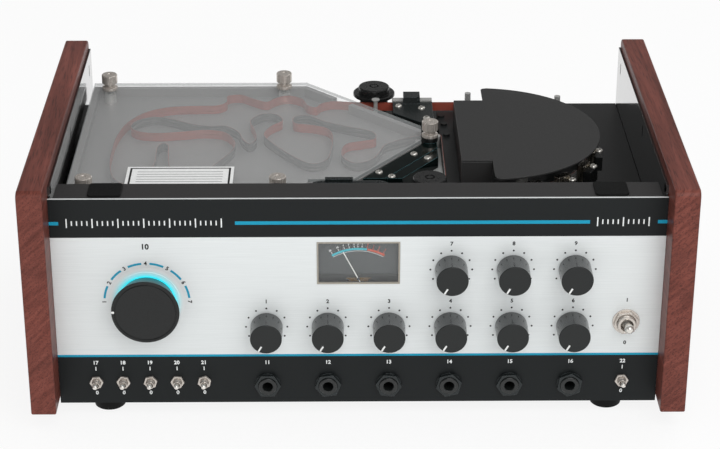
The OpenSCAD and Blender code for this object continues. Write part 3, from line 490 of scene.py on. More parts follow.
def plate(bm, loops, z0, z1):
    """A flat plate in XY: the first loop is its outline, the others are holes"""
    rims = []
    for loop in loops:
        points = [bm.verts.new((x, y, z0)) for x, y in loop]
        rims += [bm.edges.new(pair) for pair in zip(points, points[1:] + points[:1])]
    filled = bmesh.ops.triangle_fill(bm, use_beauty=True, use_dissolve=False, edges=rims)
    faces = [made for made in filled["geom"] if isinstance(made, bmesh.types.BMFace)]
    risen = bmesh.ops.extrude_face_region(bm, geom=faces)["geom"]
    tops = [made for made in risen if isinstance(made, bmesh.types.BMVert)]
    bmesh.ops.translate(bm, vec=(0, 0, z1 - z0), verts=tops)


def soften(bm, width, segments=2, angle=35.0):
    """Rounds every edge sharper than an angle"""
    bmesh.ops.recalc_face_normals(bm, faces=bm.faces)
    limit = math.radians(angle)
    sharp = [e for e in bm.edges if e.is_manifold and e.calc_face_angle() > limit]
    bmesh.ops.bevel(bm, geom=sharp, offset=width, offset_type="OFFSET", segments=segments,
                    profile=0.5, affect="EDGES", clamp_overlap=True, material=-1)
    return bm


def cut_off(bm, point, normal):
    """Cuts away what lies beyond a plane and closes the cut"""
    everything = bm.verts[:] + bm.edges[:] + bm.faces[:]
    cut = bmesh.ops.bisect_plane(bm, geom=everything, dist=0.0001, plane_co=point,
                                 plane_no=normal, clear_outer=True)["geom_cut"]
    edges = [made for made in cut if isinstance(made, bmesh.types.BMEdge)]
    bmesh.ops.holes_fill(bm, edges=edges, sides=0)


def turned(bm, matrix):
    """Moves all of a mesh by a matrix"""
    bmesh.ops.transform(bm, matrix=matrix, verts=bm.verts)
    return bm


def shaped(shape, *sizes, **rest):
    """A new mesh that holds one shape"""
    bm = bmesh.new()
    shape(bm, *sizes, **rest)
    return bm


def join(target, bm):
    """Adds a mesh to another one and frees it"""
    held = bpy.data.meshes.new("held")
    bm.to_mesh(held)
    bm.free()
    target.from_mesh(held)
    bpy.data.meshes.remove(held)


def front_place(x, z, y=PANEL_Y):
    """Sets an upright shape on the faceplate, its height pointing out of it"""
    return Matrix.Translation((x, y, z)) @ Matrix.Rotation(math.radians(90), 4, "X")


def strip_arc(bm, at, r0, r1, start, end, z0, z1, steps=8):
    """A piece of a flat ring between two angles, measured from the top to the right"""
    from_top = math.radians(90 - start)
    low = [bm.verts.new((at[0] + r * math.cos(from_top), at[1] + r * math.sin(from_top), z0))
           for r in (r0, r1)]
    line = bm.edges.new(low)
    bmesh.ops.spin(bm, geom=low + [line], cent=(at[0], at[1], 0), axis=(0, 0, -1),
                   angle=math.radians(end - start), steps=steps)
    faces = list({f for e in bm.edges if e.is_valid for f in e.link_faces
                  if abs(f.calc_center_median().z - z0) < 1e-6 and line in f.edges})
    grown = set(faces)
    while faces:
        faces = [f for g in faces for e in g.edges for f in e.link_faces if f not in grown]
        grown.update(faces)
    risen = bmesh.ops.extrude_face_region(bm, geom=list(grown))["geom"]
    tops = [made for made in risen if isinstance(made, bmesh.types.BMVert)]
    bmesh.ops.translate(bm, vec=(0, 0, z1 - z0), verts=tops)


def figures(bm, text, x, z, height, turn=0.0, y=PANEL_Y):
    """Plain numbers printed on an upright face, their middle at x and z"""
    curve = bpy.data.curves.new("figures", "FONT")
    curve.body = text
    curve.align_x, curve.align_y = "CENTER", "CENTER"
    curve.size = height / 0.7
    curve.offset = height * 0.05
    curve.extrude = INK / 2
    curve.resolution_u = 3
    holder = bpy.data.objects.new("figures", curve)
    bpy.context.scene.collection.objects.link(holder)
    bpy.context.view_layer.update()
    flat = bpy.data.meshes.new_from_object(
        holder.evaluated_get(bpy.context.evaluated_depsgraph_get()))
    place = front_place(x, z, y - INK / 2) @ Matrix.Rotation(math.radians(-turn), 4, "Z")
    flat.transform(place)
    bm.from_mesh(flat)
    bpy.data.objects.remove(holder)
    bpy.data.curves.remove(curve)
    bpy.data.meshes.remove(flat)


def piece(name, parts, body="cabinet", hides=()):
    """Joins shapes in millimetres, each with its finish, to one object that rides on a body"""
    whole = bmesh.new()
    finishes = []
    for bm, *coats in parts:
        bmesh.ops.recalc_face_normals(bm, faces=bm.faces)
        for face in bm.faces:
            face.material_index += len(finishes)
        finishes += coats
        join(whole, bm)
    bmesh.ops.scale(whole, vec=(MM, MM, MM), verts=whole.verts)
    mesh = bpy.data.meshes.new(name)
    whole.to_mesh(mesh)
    whole.free()
    for finish in finishes:
        mesh.materials.append(finish)
    mesh.shade_smooth()
    mesh.set_sharp_from_angle(angle=math.radians(SHARP))
    made = bpy.data.objects.new(name, mesh)
    bpy.context.scene.collection.objects.link(made)
    made.modifiers.new("even shading", "WEIGHTED_NORMAL").keep_sharp = True
    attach(made, body)
    if hides:
        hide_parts(*hides)
    return made


def dress(name, finish):
    """Gives a solid that stays its finish"""
    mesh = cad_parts[name].data
    mesh.materials.clear()
    mesh.materials.append(finish)


# Settings


def colour_property(name, description, default):
    """A colour that the sidebar shows, given as sRGB hex"""
    return FloatVectorProperty(name=name, description=description, subtype="COLOR", size=3,
                               min=0.0, max=1.0, default=linear(default)[:3])


def length_property(name, description, default):
    """A length that the sidebar shows, given in millimetres"""
    return FloatProperty(name=name, description=description, default=default * MM,
                         min=0.0, soft_max=0.5, precision=5, unit="LENGTH")


class CabinetSettings(bpy.types.PropertyGroup):
    wood_dark: colour_property("Dark wood", "Darker streaks of the stained cheeks", "#5f2f26")
    wood_light: colour_property("Light wood", "Lighter streaks of the stained cheeks", "#7d443a")
    cheek_round: length_property("Cheek edge", "Rounding along the cheeks' long edges", 1.1)
    corner_round: length_property("Cheek corner", "Radius of the cheeks' upper corners", 5.0)


class PanelSettings(bpy.types.PropertyGroup):
    silver_dark: colour_property("Silver, dark", "Darker hairlines of the bare faceplate", "#dfe3e3")
    silver_light: colour_property("Silver, light", "Lighter hairlines of the bare faceplate", "#e5e9e9")
    print_black: colour_property("Black print", "Ink of the dark bands", "#121617")
    print_teal: colour_property("Teal print", "Ink of the lines and the dial's arcs", "#1297b9")
    halo: colour_property("Halo", "Light ring behind the mode knob", "#28dfee")
    plate_round: length_property("Plate edge", "Rounding of the faceplate's edges", 0.35)
    figure_height: length_property("Figure height", "Height of the plain numbers", 2.5)


class DeckSettings(bpy.types.PropertyGroup):
    tape_front: colour_property("Tape, oxide side", "Brown-red coated side of the tape", "#97483a")
    tape_back: colour_property("Tape, back side", "Grey back of the tape", "#5b5a59")


class StageSettings(bpy.types.PropertyGroup):
    sky: FloatProperty(name="Sky", description="Strength of the soft light all round",
                       default=0.6, min=0.0, max=2.0)
    key: FloatProperty(name="Key lamp", description="Power of the large lamp above the front",
                       default=15.0, min=0.0, max=200.0, unit="POWER")
    floor: colour_property("Floor", "Pale floor under the unit", "#f2f2f2")


# Pieces


class ECHO_OT_cheeks(bpy.types.Operator):
    """Makes the two stained wooden cheeks"""

    bl_idname = "echo.cheeks"
    bl_label = "Cheeks"

    def execute(self, context):
        cabinet = context.scene.echo_cabinet
        wood = stained_mahogany(cabinet)
        for name in ("left_cheek", "right_cheek"):
            low, high = (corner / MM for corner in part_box(name))
            bm = shaped(block, low, high)
            upper = [e for e in bm.edges if all(v.co.z > high.z - 1 for v in e.verts)
                     and abs(e.verts[0].co.x - e.verts[1].co.x) > 1]
            bmesh.ops.bevel(bm, geom=upper, offset=cabinet.corner_round / MM,
                            offset_type="OFFSET", segments=6, profile=0.5, affect="EDGES",
                            material=-1)
            soften(bm, cabinet.cheek_round / MM, 3)
            piece(name + "_board", [(bm, wood)], hides=(name,))
        return {"FINISHED"}


class ECHO_OT_chassis(bpy.types.Operator):
    """Finishes the folded steel parts and makes the lid pads and feet"""

    bl_idname = "echo.chassis"
    bl_label = "Chassis"

    def execute(self, context):
        dress("chassis_tray", chassis_black())
        dress("front_bracket", shelf_grey())
        dress("deck_plate", deck_black())
        bm = bmesh.new()
        low, high = (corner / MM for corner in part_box("lid_pads"))
        for side in (-1, 1):
            inner = min(abs(low.x), high.x) - 21
            xs = sorted((side * inner, side * high.x))
            block(bm, (xs[0], low.y, low.z), (xs[1], high.y, high.z))
        upright = [e for e in bm.edges if e.verts[0].co.xy == e.verts[1].co.xy]
        bmesh.ops.bevel(bm, geom=upright, offset=2.4, offset_type="OFFSET", segments=5,
                        profile=0.5, affect="EDGES", material=-1)
        soften(bm, 0.6, 3)
        piece("pads_soft", [(bm, rubber())], hides=("lid_pads",))
        bm = bmesh.new()
        for x in (-162, 162):
            for y in (-96, 108):
                lathe(bm, (x, y), [(0, 5), (3.3, 5), (3.3, 0.4), (3.7, 0), (9.3, 0), (10.0, 0.6),
                                   (11.1, 9.6), (10.8, 10), (0, 10)])
        piece("feet_moulded", [(bm, rubber())], hides=("feet",))
        return {"FINISHED"}


class ECHO_OT_faceplate(bpy.types.Operator):
    """Makes the printed aluminium faceplate with its holes, and the marks on it"""

    bl_idname = "echo.faceplate"
    bl_label = "Faceplate"

    def execute(self, context):
        panel = context.scene.echo_panel
        loops = [[(-INNER_X, PANEL_BASE), (INNER_X, PANEL_BASE),
                  (INNER_X, PANEL_TOP), (-INNER_X, PANEL_TOP)],
                 [(-METER_W / 2, METER_Z - METER_H / 2), (METER_W / 2, METER_Z - METER_H / 2),
                  (METER_W / 2, METER_Z + METER_H / 2), (-METER_W / 2, METER_Z + METER_H / 2)]]
        loops += [ring_points(at, KNOB_BUSH + HOLE_ROOM, 24) for at in KNOBS.values()]
        loops += [ring_points(MODE_AT, MODE_BUSH + HOLE_ROOM, 24),
                  ring_points(POWER_AT, POWER_BUSH + HOLE_ROOM, 32)]
        loops += [ring_points((x, JACK_Z), JACK_BUSH + HOLE_ROOM, 32) for x in COLUMNS]
        loops += [ring_points((x, TOGGLE_Z), TOGGLE_BUSH + HOLE_ROOM, 20) for x in TOGGLES.values()]
        bm = shaped(plate, loops, -2.0, 0.0)
        soften(bm, panel.plate_round / MM, 2)
        turned(bm, front_place(0, 0))
        piece("faceplate", [(bm, printed_aluminium(panel))], hides=("front_panel",))
        self.marks(panel)
        return {"FINISHED"}

    def marks(self, panel):
        """Prints plain numbers, dots and arcs round the controls and rulers in the dark band"""
        dark, pale, teal, dots = bmesh.new(), bmesh.new(), bmesh.new(), bmesh.new()
        height = panel.figure_height / MM
        dot_circle, dot_r, mode_circle, mode_step, arc_gap = 13.1, 0.62, 26.8, 30, 5.5
        for number, (x, z) in enumerate(KNOBS.values(), 1):
            figures(dark, str(number), x, z + 17.9, height)
            for angle in range(-120, 121, 30):
                turn = math.radians(angle)
                disc(dots, (x + dot_circle * math.sin(turn), z + dot_circle * math.cos(turn)),
                     0.0, INK, dot_r, steps=12)
        turned(dots, front_place(0, 0))
        for number in range(1, 8):
            angle = (number - 4) * mode_step
            turn = math.radians(angle)
            figures(dark, str(number), MODE_AT[0] + mode_circle * math.sin(turn),
                    MODE_AT[1] + mode_circle * math.cos(turn), height, angle)
            if number < 7:
                strip_arc(teal, MODE_AT, mode_circle - 0.7, mode_circle + 0.7,
                          angle + arc_gap, angle + mode_step - arc_gap, 0.0, INK)
        figures(dark, "10", MODE_AT[0], 121.6, 3.6)
        turned(teal, front_place(0, 0))
        for number, x in enumerate(COLUMNS, 11):
            figures(pale, str(number), x, 39.3, height)
        for number, x in enumerate(TOGGLES.values(), 17):
            figures(pale, str(number), x, 39.4, height)
            figures(pale, "1", x, 35.0, height)
            figures(pale, "0", x, 17.5, height)
        figures(dark, "1", POWER_AT[0], 83.2, height)
        figures(dark, "0", POWER_AT[0], 52.7, height)
        ticks = bmesh.new()
        step, half, middle = 3.2, 0.4, 138
        for start, end in RULERS:
            for i in range(int((end - start) / step) + 1):
                tall = 3.1 if i % 5 == 0 else 1.6
                block(ticks, (start + i * step - half, middle - tall, 0.0),
                      (start + i * step + half, middle + tall, INK))
        turned(ticks, front_place(0, 0))
        black, white = screen_ink("black", "#101212"), screen_ink("white", "#eef1f0")
        piece("faceplate_marks", [
            (dark, black), (dots, black), (pale, white), (ticks, white),
            (teal, screen_ink("teal", (*panel.print_teal, 1.0)))])


class ECHO_OT_knobs(bpy.types.Operator):
    """Makes the nine small knobs, each on its own body"""

    bl_idname = "echo.knobs"
    bl_label = "Small knobs"

    def execute(self, context):
        skin = moulded_black("ABS, moulded black, knob faces", 0.35, Specular_IOR_Level=0.35)
        barrel = worked("ABS, moulded black, polished knob sides", "#171a1c", "#1f2224", 0.35, 0.2,
                        spread=0.04, bump=0.008, Specular_IOR_Level=1.0)
        line = moulded_white()
        for name, (x, z) in KNOBS.items():
            bm = shaped(lathe, (0, 0), [(0, 6), (7.6, 6), (7.6, 0.6), (10.1, 0.6), (10.3, 0.9),
                                        (10.04, 16.8), (9.96, 17.1), (9.75, 17.32), (9.45, 17.4),
                                        (9.2, 17.28), (0, 17.28)], 64)
            pointer = shaped(block, (-0.55, 5.8, 16.9), (0.55, 9.7, 17.65))
            soften(pointer, 0.15, 1)
            turned(pointer, Matrix.Rotation(math.radians(KNOB_TURN), 4, "Z"))
            shaft = shaped(disc, (0, 0), -12.5, 14.4, 3.0, steps=32)
            bm.normal_update()
            for face in bm.faces:
                face.material_index = 1 if abs(face.normal.z) < 0.5 else 0
            for part in (bm, pointer, shaft):
                turned(part, front_place(x, z))
            piece(name + "_cap", [(bm, skin, barrel), (pointer, line), (shaft, turned_nickel())],
                  body=name, hides=(name,))
        return {"FINISHED"}


class ECHO_OT_mode_knob(bpy.types.Operator):
    """Makes the large mode knob and the light ring behind it, with a painted glow on the panel round the
    ring
    """

    bl_idname = "echo.mode_knob"
    bl_label = "Mode knob"

    def execute(self, context):
        panel = context.scene.echo_panel
        skin = worked("ABS, moulded black, mode knob", "#101212", "#151717", 0.35, 0.3, bump=0.012,
                      Specular_IOR_Level=0.4)
        bm = shaped(lathe, (0, 0), [(0, 6), (15.5, 6), (15.5, 0.6), (17.3, 0.6), (17.55, 0.9),
                                    (21.2, 14.0), (21.35, 14.5), (21.15, 14.82), (20.8, 14.9),
                                    (19.8, 14.9), (19.55, 14.75), (19.5, 14.3), (18.8, 14.3),
                                    (18.75, 14.75), (18.5, 14.9), (0, 14.9)], 96)
        mark = shaped(block, (-21.35, -0.75, 14.0), (-19.5, 0.75, 15.1))
        soften(mark, 0.15, 1)
        shaft = shaped(disc, (0, 0), -17.5, 11.9, 3.0, steps=32)
        for part in (bm, mark, shaft):
            turned(part, front_place(*MODE_AT))
        line = moulded_white()
        piece("mode_knob_cap", [(bm, skin), (mark, line), (shaft, turned_nickel())],
              body="mode_knob", hides=("mode_knob",))
        # The ring's outer skin lies on the silver and carries the painted glow
        ring = shaped(lathe, (0, 0), [(16.0, 0.0), (HALO_R, 0.0), (HALO_R, 0.05), (21.0, 0.07),
                                      (20.8, 0.3), (16.0, 0.3)], 96)
        turned(ring, front_place(*MODE_AT))
        piece("mode_halo_ring_and_painted_glow", [(ring, halo_glow(panel))], hides=("mode_halo",))
        return {"FINISHED"}


class ECHO_OT_jacks(bpy.types.Operator):
    """Makes the six jack sockets with their washers and nuts"""

    bl_idname = "echo.jacks"
    bl_label = "Jack sockets"

    def execute(self, context):
        shells, nuts = bmesh.new(), bmesh.new()
        for i, x in enumerate(COLUMNS):
            shell = shaped(lathe, (0, 0), [(3.25, -23.8), (3.25, 3.7), (3.55, 4.05), (4.6, 4.2),
                                           (5.5, 4.2), (JACK_BUSH, 3.8), (JACK_BUSH, -23.8)], 40)
            corners = ring_points((0, 0), 11.3, 4, math.radians(45))
            plate(shell, [corners, ring_points((0, 0), JACK_BUSH, 40)], -27.4, BRACKET_Z)
            disc(shell, (0, 0), -27.4, -23.8, JACK_BUSH, steps=40)
            nut = bmesh.new()
            bore = ring_points((0, 0), JACK_BUSH + NUT_ROOM, 40)
            plate(nut, [ring_points((0, 0), 8.1, 48), bore], 0.0, 1.0)
            turn = math.radians((0, 8, -6, 14, 4, 22)[i])
            hexagon = shaped(plate, [ring_points((0, 0), 8.65, 6, turn), bore], 1.0, 3.4)
            soften(nut, 0.25, 2)
            soften(hexagon, 0.45, 2)
            for source, target in ((shell, shells), (nut, nuts), (hexagon, nuts)):
                join(target, turned(source, front_place(x, JACK_Z)))
        piece("jacks", [(shells, moulded_black("ABS, moulded black, jacks", 0.3)),
                        (nuts, black_plate())], hides=("jack_sockets",))
        return {"FINISHED"}


def thread(r, depth, start, count):
    """The ridges and grooves of a bushing's thread, as a profile"""
    return [(r - depth * (i % 2), start + THREAD_STEP * i) for i in range(count)]


def lever_shape(ball, thin, tip, length):
    """A bat lever along +Z with its ball at the origin"""
    bm = bmesh.new()
    profile = [(0, -ball)]
    profile += [(ball * math.cos(a), ball * math.sin(a)) for a in (-1.0, -0.5, 0.0, 0.5, 0.9)]
    profile += [(thin, ball + 0.6), (thin * 1.05, length * 0.3), (tip * 0.98, length - tip - 1.2)]
    profile += [(tip * math.cos(a), length - tip + tip * math.sin(a))
                for a in (0.0, 0.35, 0.7, 1.0, 1.3)]
    lathe(bm, (0, 0), profile + [(0, length)], 28)
    return bm


class ECHO_OT_switches(bpy.types.Operator):
    """Makes the small toggles and the power switch with their nuts and levers"""

    bl_idname = "echo.switches"
    bl_label = "Switches"

    def execute(self, context):
        red = worked("Phenolic, moulded red", "#6a221d", "#7d2a26", 1.5, 0.4)
        bodies, bushes, nuts = bmesh.new(), bmesh.new(), bmesh.new()
        for i, (name, x) in enumerate(TOGGLES.items()):
            place = front_place(x, TOGGLE_Z)
            block(bodies, (x - 3.8, -110, TOGGLE_Z - 6), (x + 3.8, -101, TOGGLE_Z + 6))
            self.add(bushes, place, [(0, -3.5), (TOGGLE_BUSH, -3.5), *thread(TOGGLE_BUSH, 0.15, 1.9, 9),
                                     (2.5, 5.3), (2.3, 5.5), (1.95, 5.5), (1.95, 0.0), (0, 0.0)])
            self.nut(nuts, place, 4.55, TOGGLE_BUSH + NUT_ROOM, 0.0, 1.8, 0.35,
                     (3, -8, 12, -4, 17, 6)[i])
            self.lever(name, (x, PANEL_Y - 2.4, TOGGLE_Z), lever_shape(1.6, 1.0, 1.7, 9.8))
        piece("toggles", [(soften(bodies, 0.4), red), (bushes, turned_nickel())],
              hides=("toggle_bodies",))
        place = front_place(*POWER_AT)
        ring = shaped(plate, [ring_points((0, 0), 8.7, 56),
                              ring_points((0, 0), POWER_BUSH + NUT_ROOM, 40)], 0.0, 1.0)
        soften(ring, 0.3, 2)
        turned(ring, place)
        self.nut(nuts, place, 8.2, POWER_BUSH + NUT_ROOM, 1.0, 3.4, 0.5, 11)
        piece("switch_nuts", [(nuts, turned_nickel()), (ring, turned_nickel())],
              hides=("toggle_nuts",))
        body, bush = bmesh.new(), bmesh.new()
        block(body, (POWER_AT[0] - 9, -110, POWER_AT[1] - 15),
              (POWER_AT[0] + 9, -88, POWER_AT[1] + 15))
        soften(body, 0.8, 2)
        self.add(bush, place, [(0, -3.5), (POWER_BUSH, -3.5), *thread(POWER_BUSH, 0.3, 3.9, 6),
                               (5.85, 5.7), (5.6, 6.3), (5.2, 6.5), (4.2, 6.5), (4.2, -1.9),
                               (0, -1.9)])
        piece("power_switch_body", [(body, moulded_black()), (bush, turned_nickel())],
              hides=("power_switch",))
        self.lever("lever_power", (POWER_AT[0], PANEL_Y - 2.5, POWER_AT[1]),
                   lever_shape(3.6, 2.0, 3.0, 17.5))
        return {"FINISHED"}

    def add(self, target, place, profile):
        """A turned bushing"""
        bm = shaped(lathe, (0, 0), profile, 40)
        join(target, turned(bm, place))

    def nut(self, target, place, corner, bore, z0, z1, ease, turn):
        """A hexagon nut"""
        bm = shaped(plate, [ring_points((0, 0), corner, 6, math.radians(turn)),
                            ring_points((0, 0), bore, 32)], z0, z1)
        join(target, turned(soften(bm, ease, 2), place))

    def lever(self, name, pivot, bm):
        """A lever on its own body, tipped up about its pivot"""
        tipped = Matrix.Translation(pivot) @ Matrix.Rotation(math.radians(LEVER_TILT), 4, "X")
        piece(name + "_bat", [(turned(bm, tipped), polished_nickel())], body=name, hides=(name,))


class ECHO_OT_meter(bpy.types.Operator):
    """Makes the meter's dial, needle, frame and window"""

    bl_idname = "echo.meter"
    bl_label = "Meter"

    def execute(self, context):
        dress("meter_case", moulded_black("ABS, moulded black, meter case"))
        half_w, half_h = METER_W / 2, METER_H / 2
        dial, movement = bmesh.new(), bmesh.new()
        block(dial, (-half_w - 0.9, DIAL_Y, METER_Z - half_h - 0.9),
              (half_w + 0.9, DIAL_Y + 0.6, METER_Z + half_h + 0.9))
        block(movement, (-7, DIAL_Y + 0.6, NEEDLE_PIVOT - 2.4), (7, DIAL_Y + 14, NEEDLE_PIVOT + 10))
        face = worked("Steel dial, painted grey", "#3c4041", "#414546", 3.0, 0.5, bump=0.0)
        brass = worked("Brass, stamped", "#8c6a34", "#b08d4c", 1.2, 0.35, Metallic=1.0)
        cyan, red, pale, gold = bmesh.new(), bmesh.new(), bmesh.new(), bmesh.new()
        centre, number_r = (0.0, ARC_Z), 35.3
        strip_arc(cyan, centre, 31.0, 32.4, -31.5, 9.6, 0.0, 0.08, 16)
        strip_arc(red, centre, 31.0, 32.4, 10.0, 31.0, 0.0, 0.08, 10)
        strip_arc(pale, centre, 30.2, 30.45, -31.5, 31.0, 0.0, INK, 24)
        for angle in METER_SCALE:
            strip_arc(pale if angle < RED_FROM else red, centre, 32.7, 34.0, angle - 0.35,
                      angle + 0.35, 0.0, INK, 1)
        for bm in (cyan, red, pale):
            turned(bm, front_place(0, 0, DIAL_Y))
        for angle, number in METER_SCALE.items():
            turn = math.radians(angle)
            figures(pale if angle < RED_FROM else red, number, number_r * math.sin(turn),
                    ARC_Z + number_r * math.cos(turn) - 0.1, 1.15, angle, DIAL_Y)
        block(gold, (-6.2, DIAL_Y - 0.5, METER_Z - half_h), (6.2, DIAL_Y, NEEDLE_PIVOT - 0.7))
        for x in (-4.4, 4.4):
            screw = shaped(disc, (0, 0), 0.0, 0.5, 0.9, steps=16)
            turned(screw, front_place(x, 96.0, DIAL_Y - 0.5))
            join(gold, screw)
        block(gold, (-7.5, DIAL_Y - 0.3, NEEDLE_PIVOT - 0.4), (7.5, DIAL_Y, NEEDLE_PIVOT + 0.1))
        dark = shaped(block, (-half_w - 0.5, DIAL_Y - 0.25, METER_Z - half_h - 0.5),
                      (half_w + 0.5, DIAL_Y, METER_Z - half_h + 5.2))
        piece("meter_face", [
            (dial, face), (movement, brass), (cyan, screen_ink("cyan", "#35b9c9")),
            (red, screen_ink("orange red", "#c8563f")), (pale, screen_ink("white", "#e8ebea")),
            (gold, brass), (dark, moulded_black("ABS, moulded black, meter case"))],
            hides=("meter_dial",))
        edge, inner = bmesh.new(), []
        for grow in (0.0, -1.1):
            w, h = half_w + grow, half_h + grow
            inner.append([(-w, METER_Z - h), (w, METER_Z - h), (w, METER_Z + h), (-w, METER_Z + h)])
        plate(edge, inner, -1.4, 0.0)
        soften(edge, 0.25, 2)
        turned(edge, front_place(0, 0))
        piece("meter_frame", [(edge, worked("ABS, moulded beige", "#9a948a", "#aaa498", 1.0, 0.4))])
        window = shaped(block, (-half_w + 0.2, PANEL_Y + 0.35, METER_Z - half_h + 0.2),
                        (half_w - 0.2, PANEL_Y + 1.25, METER_Z + half_h - 0.2))
        piece("meter_glass", [(window, clear_acrylic("Acrylic, clear, meter window", "#f4f7f7", 0.05))],
              hides=("meter_window",))
        needle = shaped(block, (-0.3, -110.5, -4.0), (0.3, -110.15, 21.0))
        hub = shaped(disc, (0, 0), -4.6, 1.6, 0.9, steps=20)
        turned(hub, front_place(0, 0, DIAL_Y))
        turn = Matrix.Translation((0, 0, NEEDLE_PIVOT)) @ Matrix.Rotation(
            math.radians(-NEEDLE_REST), 4, "Y")
        turned(needle, turn)
        turned(hub, turn)
        piece("meter_pointer", [
            (needle, worked("Aluminium, painted white", "#e6e6e2", "#f0f0ec", 1.0, 0.4)),
            (hub, moulded_black())], body="meter_needle", hides=("meter_needle",))
        return {"FINISHED"}


class ECHO_OT_tank(bpy.types.Operator):
    """Makes the clear cover, its label and the thumb nuts, and finishes the tank and the posts"""

    bl_idname = "echo.tank"
    bl_label = "Tape tank"

    def execute(self, context):
        dress("tank_base", tank_metal())
        dress("deck_posts", worked("Aluminium, turned and satin", "#a9a9a7", "#bbbbb8", 0.5, 0.35,
                                   bump=0.01, Metallic=0.3))
        cover = bmesh.new()
        holes = [ring_points(p, STUD_R + 0.2, 20) for p in TANK_STUDS]
        plate(cover, [TANK_OUTLINE] + holes, TANK_TOP + 0.02, COVER_TOP)
        soften(cover, 0.5, 2)
        # The top faces take the painted reflection of the pale room; the edge faces take a greyer, more
        # opaque sheet, a painted shade on the polished edges
        for face in cover.faces:
            face.material_index = 1 if abs(face.normal.z) < 0.4 else 0
        piece("cover_sheet", [(cover, clear_acrylic("Acrylic, clear, tank cover", "#f2f4f4", 0.17),
                               clear_acrylic("Acrylic, clear, polished edge, painted shade", "#7e8888", 0.5))],
              hides=("tank_cover",))
        label, lines, rules = bmesh.new(), bmesh.new(), bmesh.new()
        x0, x1, y0, y1 = -150.0, -80.4, -66.0, -31.4
        block(label, (x0, y0, COVER_TOP), (x1, y1, COVER_TOP + 0.12))
        edge, wide, top = 2.0, 1.3, COVER_TOP + 0.16
        for low, high in (((x0 + edge, y1 - edge - wide), (x1 - edge, y1 - edge)),
                          ((x0 + edge, y0 + edge), (x1 - edge, y0 + edge + wide)),
                          ((x0 + edge, y0 + edge + wide), (x0 + edge + wide, y1 - edge - wide)),
                          ((x1 - edge - wide, y0 + edge + wide), (x1 - edge, y1 - edge - wide))):
            block(lines, (*low, COVER_TOP + 0.1), (*high, top))
        for i in range(6):
            y = y1 - 8.6 - i * 3.9
            block(rules, (x0 + 7, y, COVER_TOP + 0.1), (x1 - 7, y + 0.7, top))
        piece("cover_label", [
            (label, worked("Paper label, white", "#e3e4e3", "#eff0ef", 2.0, 0.55)),
            (lines, screen_ink("label black", "#161616")),
            (rules, screen_ink("label grey", "#8d8f90"))])
        nuts, z = bmesh.new(), COVER_TOP
        for at in TANK_STUDS + [APEX_STUD]:
            lathe(nuts, at, [(2.1, z), (5.1, z), (5.5, z + 0.4), (5.5, z + 2.1), (5.1, z + 2.5),
                             (3.9, z + 2.8), (3.5, z + 3.2), (3.5, z + 4.3), (5.1, z + 4.9),
                             (5.5, z + 5.3), (5.5, NUT_TOP - 0.5), (5.0, NUT_TOP), (1.9, NUT_TOP),
                             (1.6, NUT_TOP - 0.4), (0.0, NUT_TOP - 0.4), (0.0, NUT_TOP - 3.5),
                             (2.1, NUT_TOP - 3.5)], 48)
        piece("thumb_nuts_turned", [(nuts, turned_nickel())], hides=("thumb_nuts",))
        return {"FINISHED"}


def arc_points(at, r, start, end, count):
    """Points on an arc between two angles in degrees"""
    turns = [math.radians(start + (end - start) * i / count) for i in range(count + 1)]
    return [(at[0] + r * math.cos(t), at[1] + r * math.sin(t)) for t in turns]


def beside_arc(angle, r, side=0.0):
    """A place at an angle and distance from the middle of the tape's arc, moved along the arc"""
    turn = math.radians(angle)
    return (ARC_AT[0] + r * math.cos(turn) - side * math.sin(turn),
            ARC_AT[1] + r * math.sin(turn) + side * math.cos(turn))


def tangent_angle(c1, r1, c2, r2):
    """Where a line that runs from one circle to the next leaves the first"""
    d = Vector(c2) - Vector(c1)
    return math.degrees(math.atan2(d.y, d.x) + math.acos((r1 - r2) / d.length))


def spline(points, count):
    """A smooth line through points"""
    last = len(points) - 1
    made = []
    for i in range(last):
        a, b, c, d = (Vector(points[min(max(k, 0), last)]) for k in (i - 1, i, i + 1, i + 2))
        for k in range(count):
            t = k / count
            made.append(0.5 * (2 * b + (c - a) * t + (2 * a - 5 * b + 4 * c - d) * t * t
                               + (3 * b - a - 3 * c + d) * t ** 3))
    return made


# Turning points of the tape's folds, as the solid has them
FOLDS = [
    (44, 29), (36, 25), (28, 20), (19, 12), (15.5, 1), (10, -12), (-1, -18), (-9, -9),
    (-10, 4), (-6, 15), (4, 19), (13, 24), (10, 36), (-7, 45), (-22, 54), (-34, 65),
    (-43, 62), (-42, 51), (-29, 47), (-19, 40), (-16, 25), (-17, 6), (-20, -12), (-30, -19),
    (-43, -6), (-55, 13), (-63, 30), (-59, 45), (-51, 56), (-56, 67), (-66, 67), (-73, 56),
    (-70, 40), (-68, 24), (-72, 15), (-77, 22), (-81, 36), (-90, 46), (-102, 46),
    (-114, 50), (-126, 58), (-139, 63), (-151, 57), (-155, 46), (-149, 37), (-136, 34),
    (-120, 36), (-106, 39), (-93, 37), (-86, 29), (-82, 16), (-84, 2), (-93, -18),
    (-103, -38), (-115, -43), (-123, -26), (-126, -4), (-127, 12), (-131, 16), (-134, 8),
    (-134, -18), (-138, -42), (-148, -52), (-158, -43), (-163, -22), (-164, 2), (-163, 28),
    (-158, 52), (-147, 71), (-130, 81), (-110, 83), (-97, 84), (-91, 91), (-91, 101),
    (-82, 104), (-72, 96), (-63, 90), (-57, 97), (-48, 102), (-38, 96), (-34, 84),
    (-28, 80), (-24, 87), (-16, 91), (-6, 89.6), (2, 88.8), (8, 88.6),
]


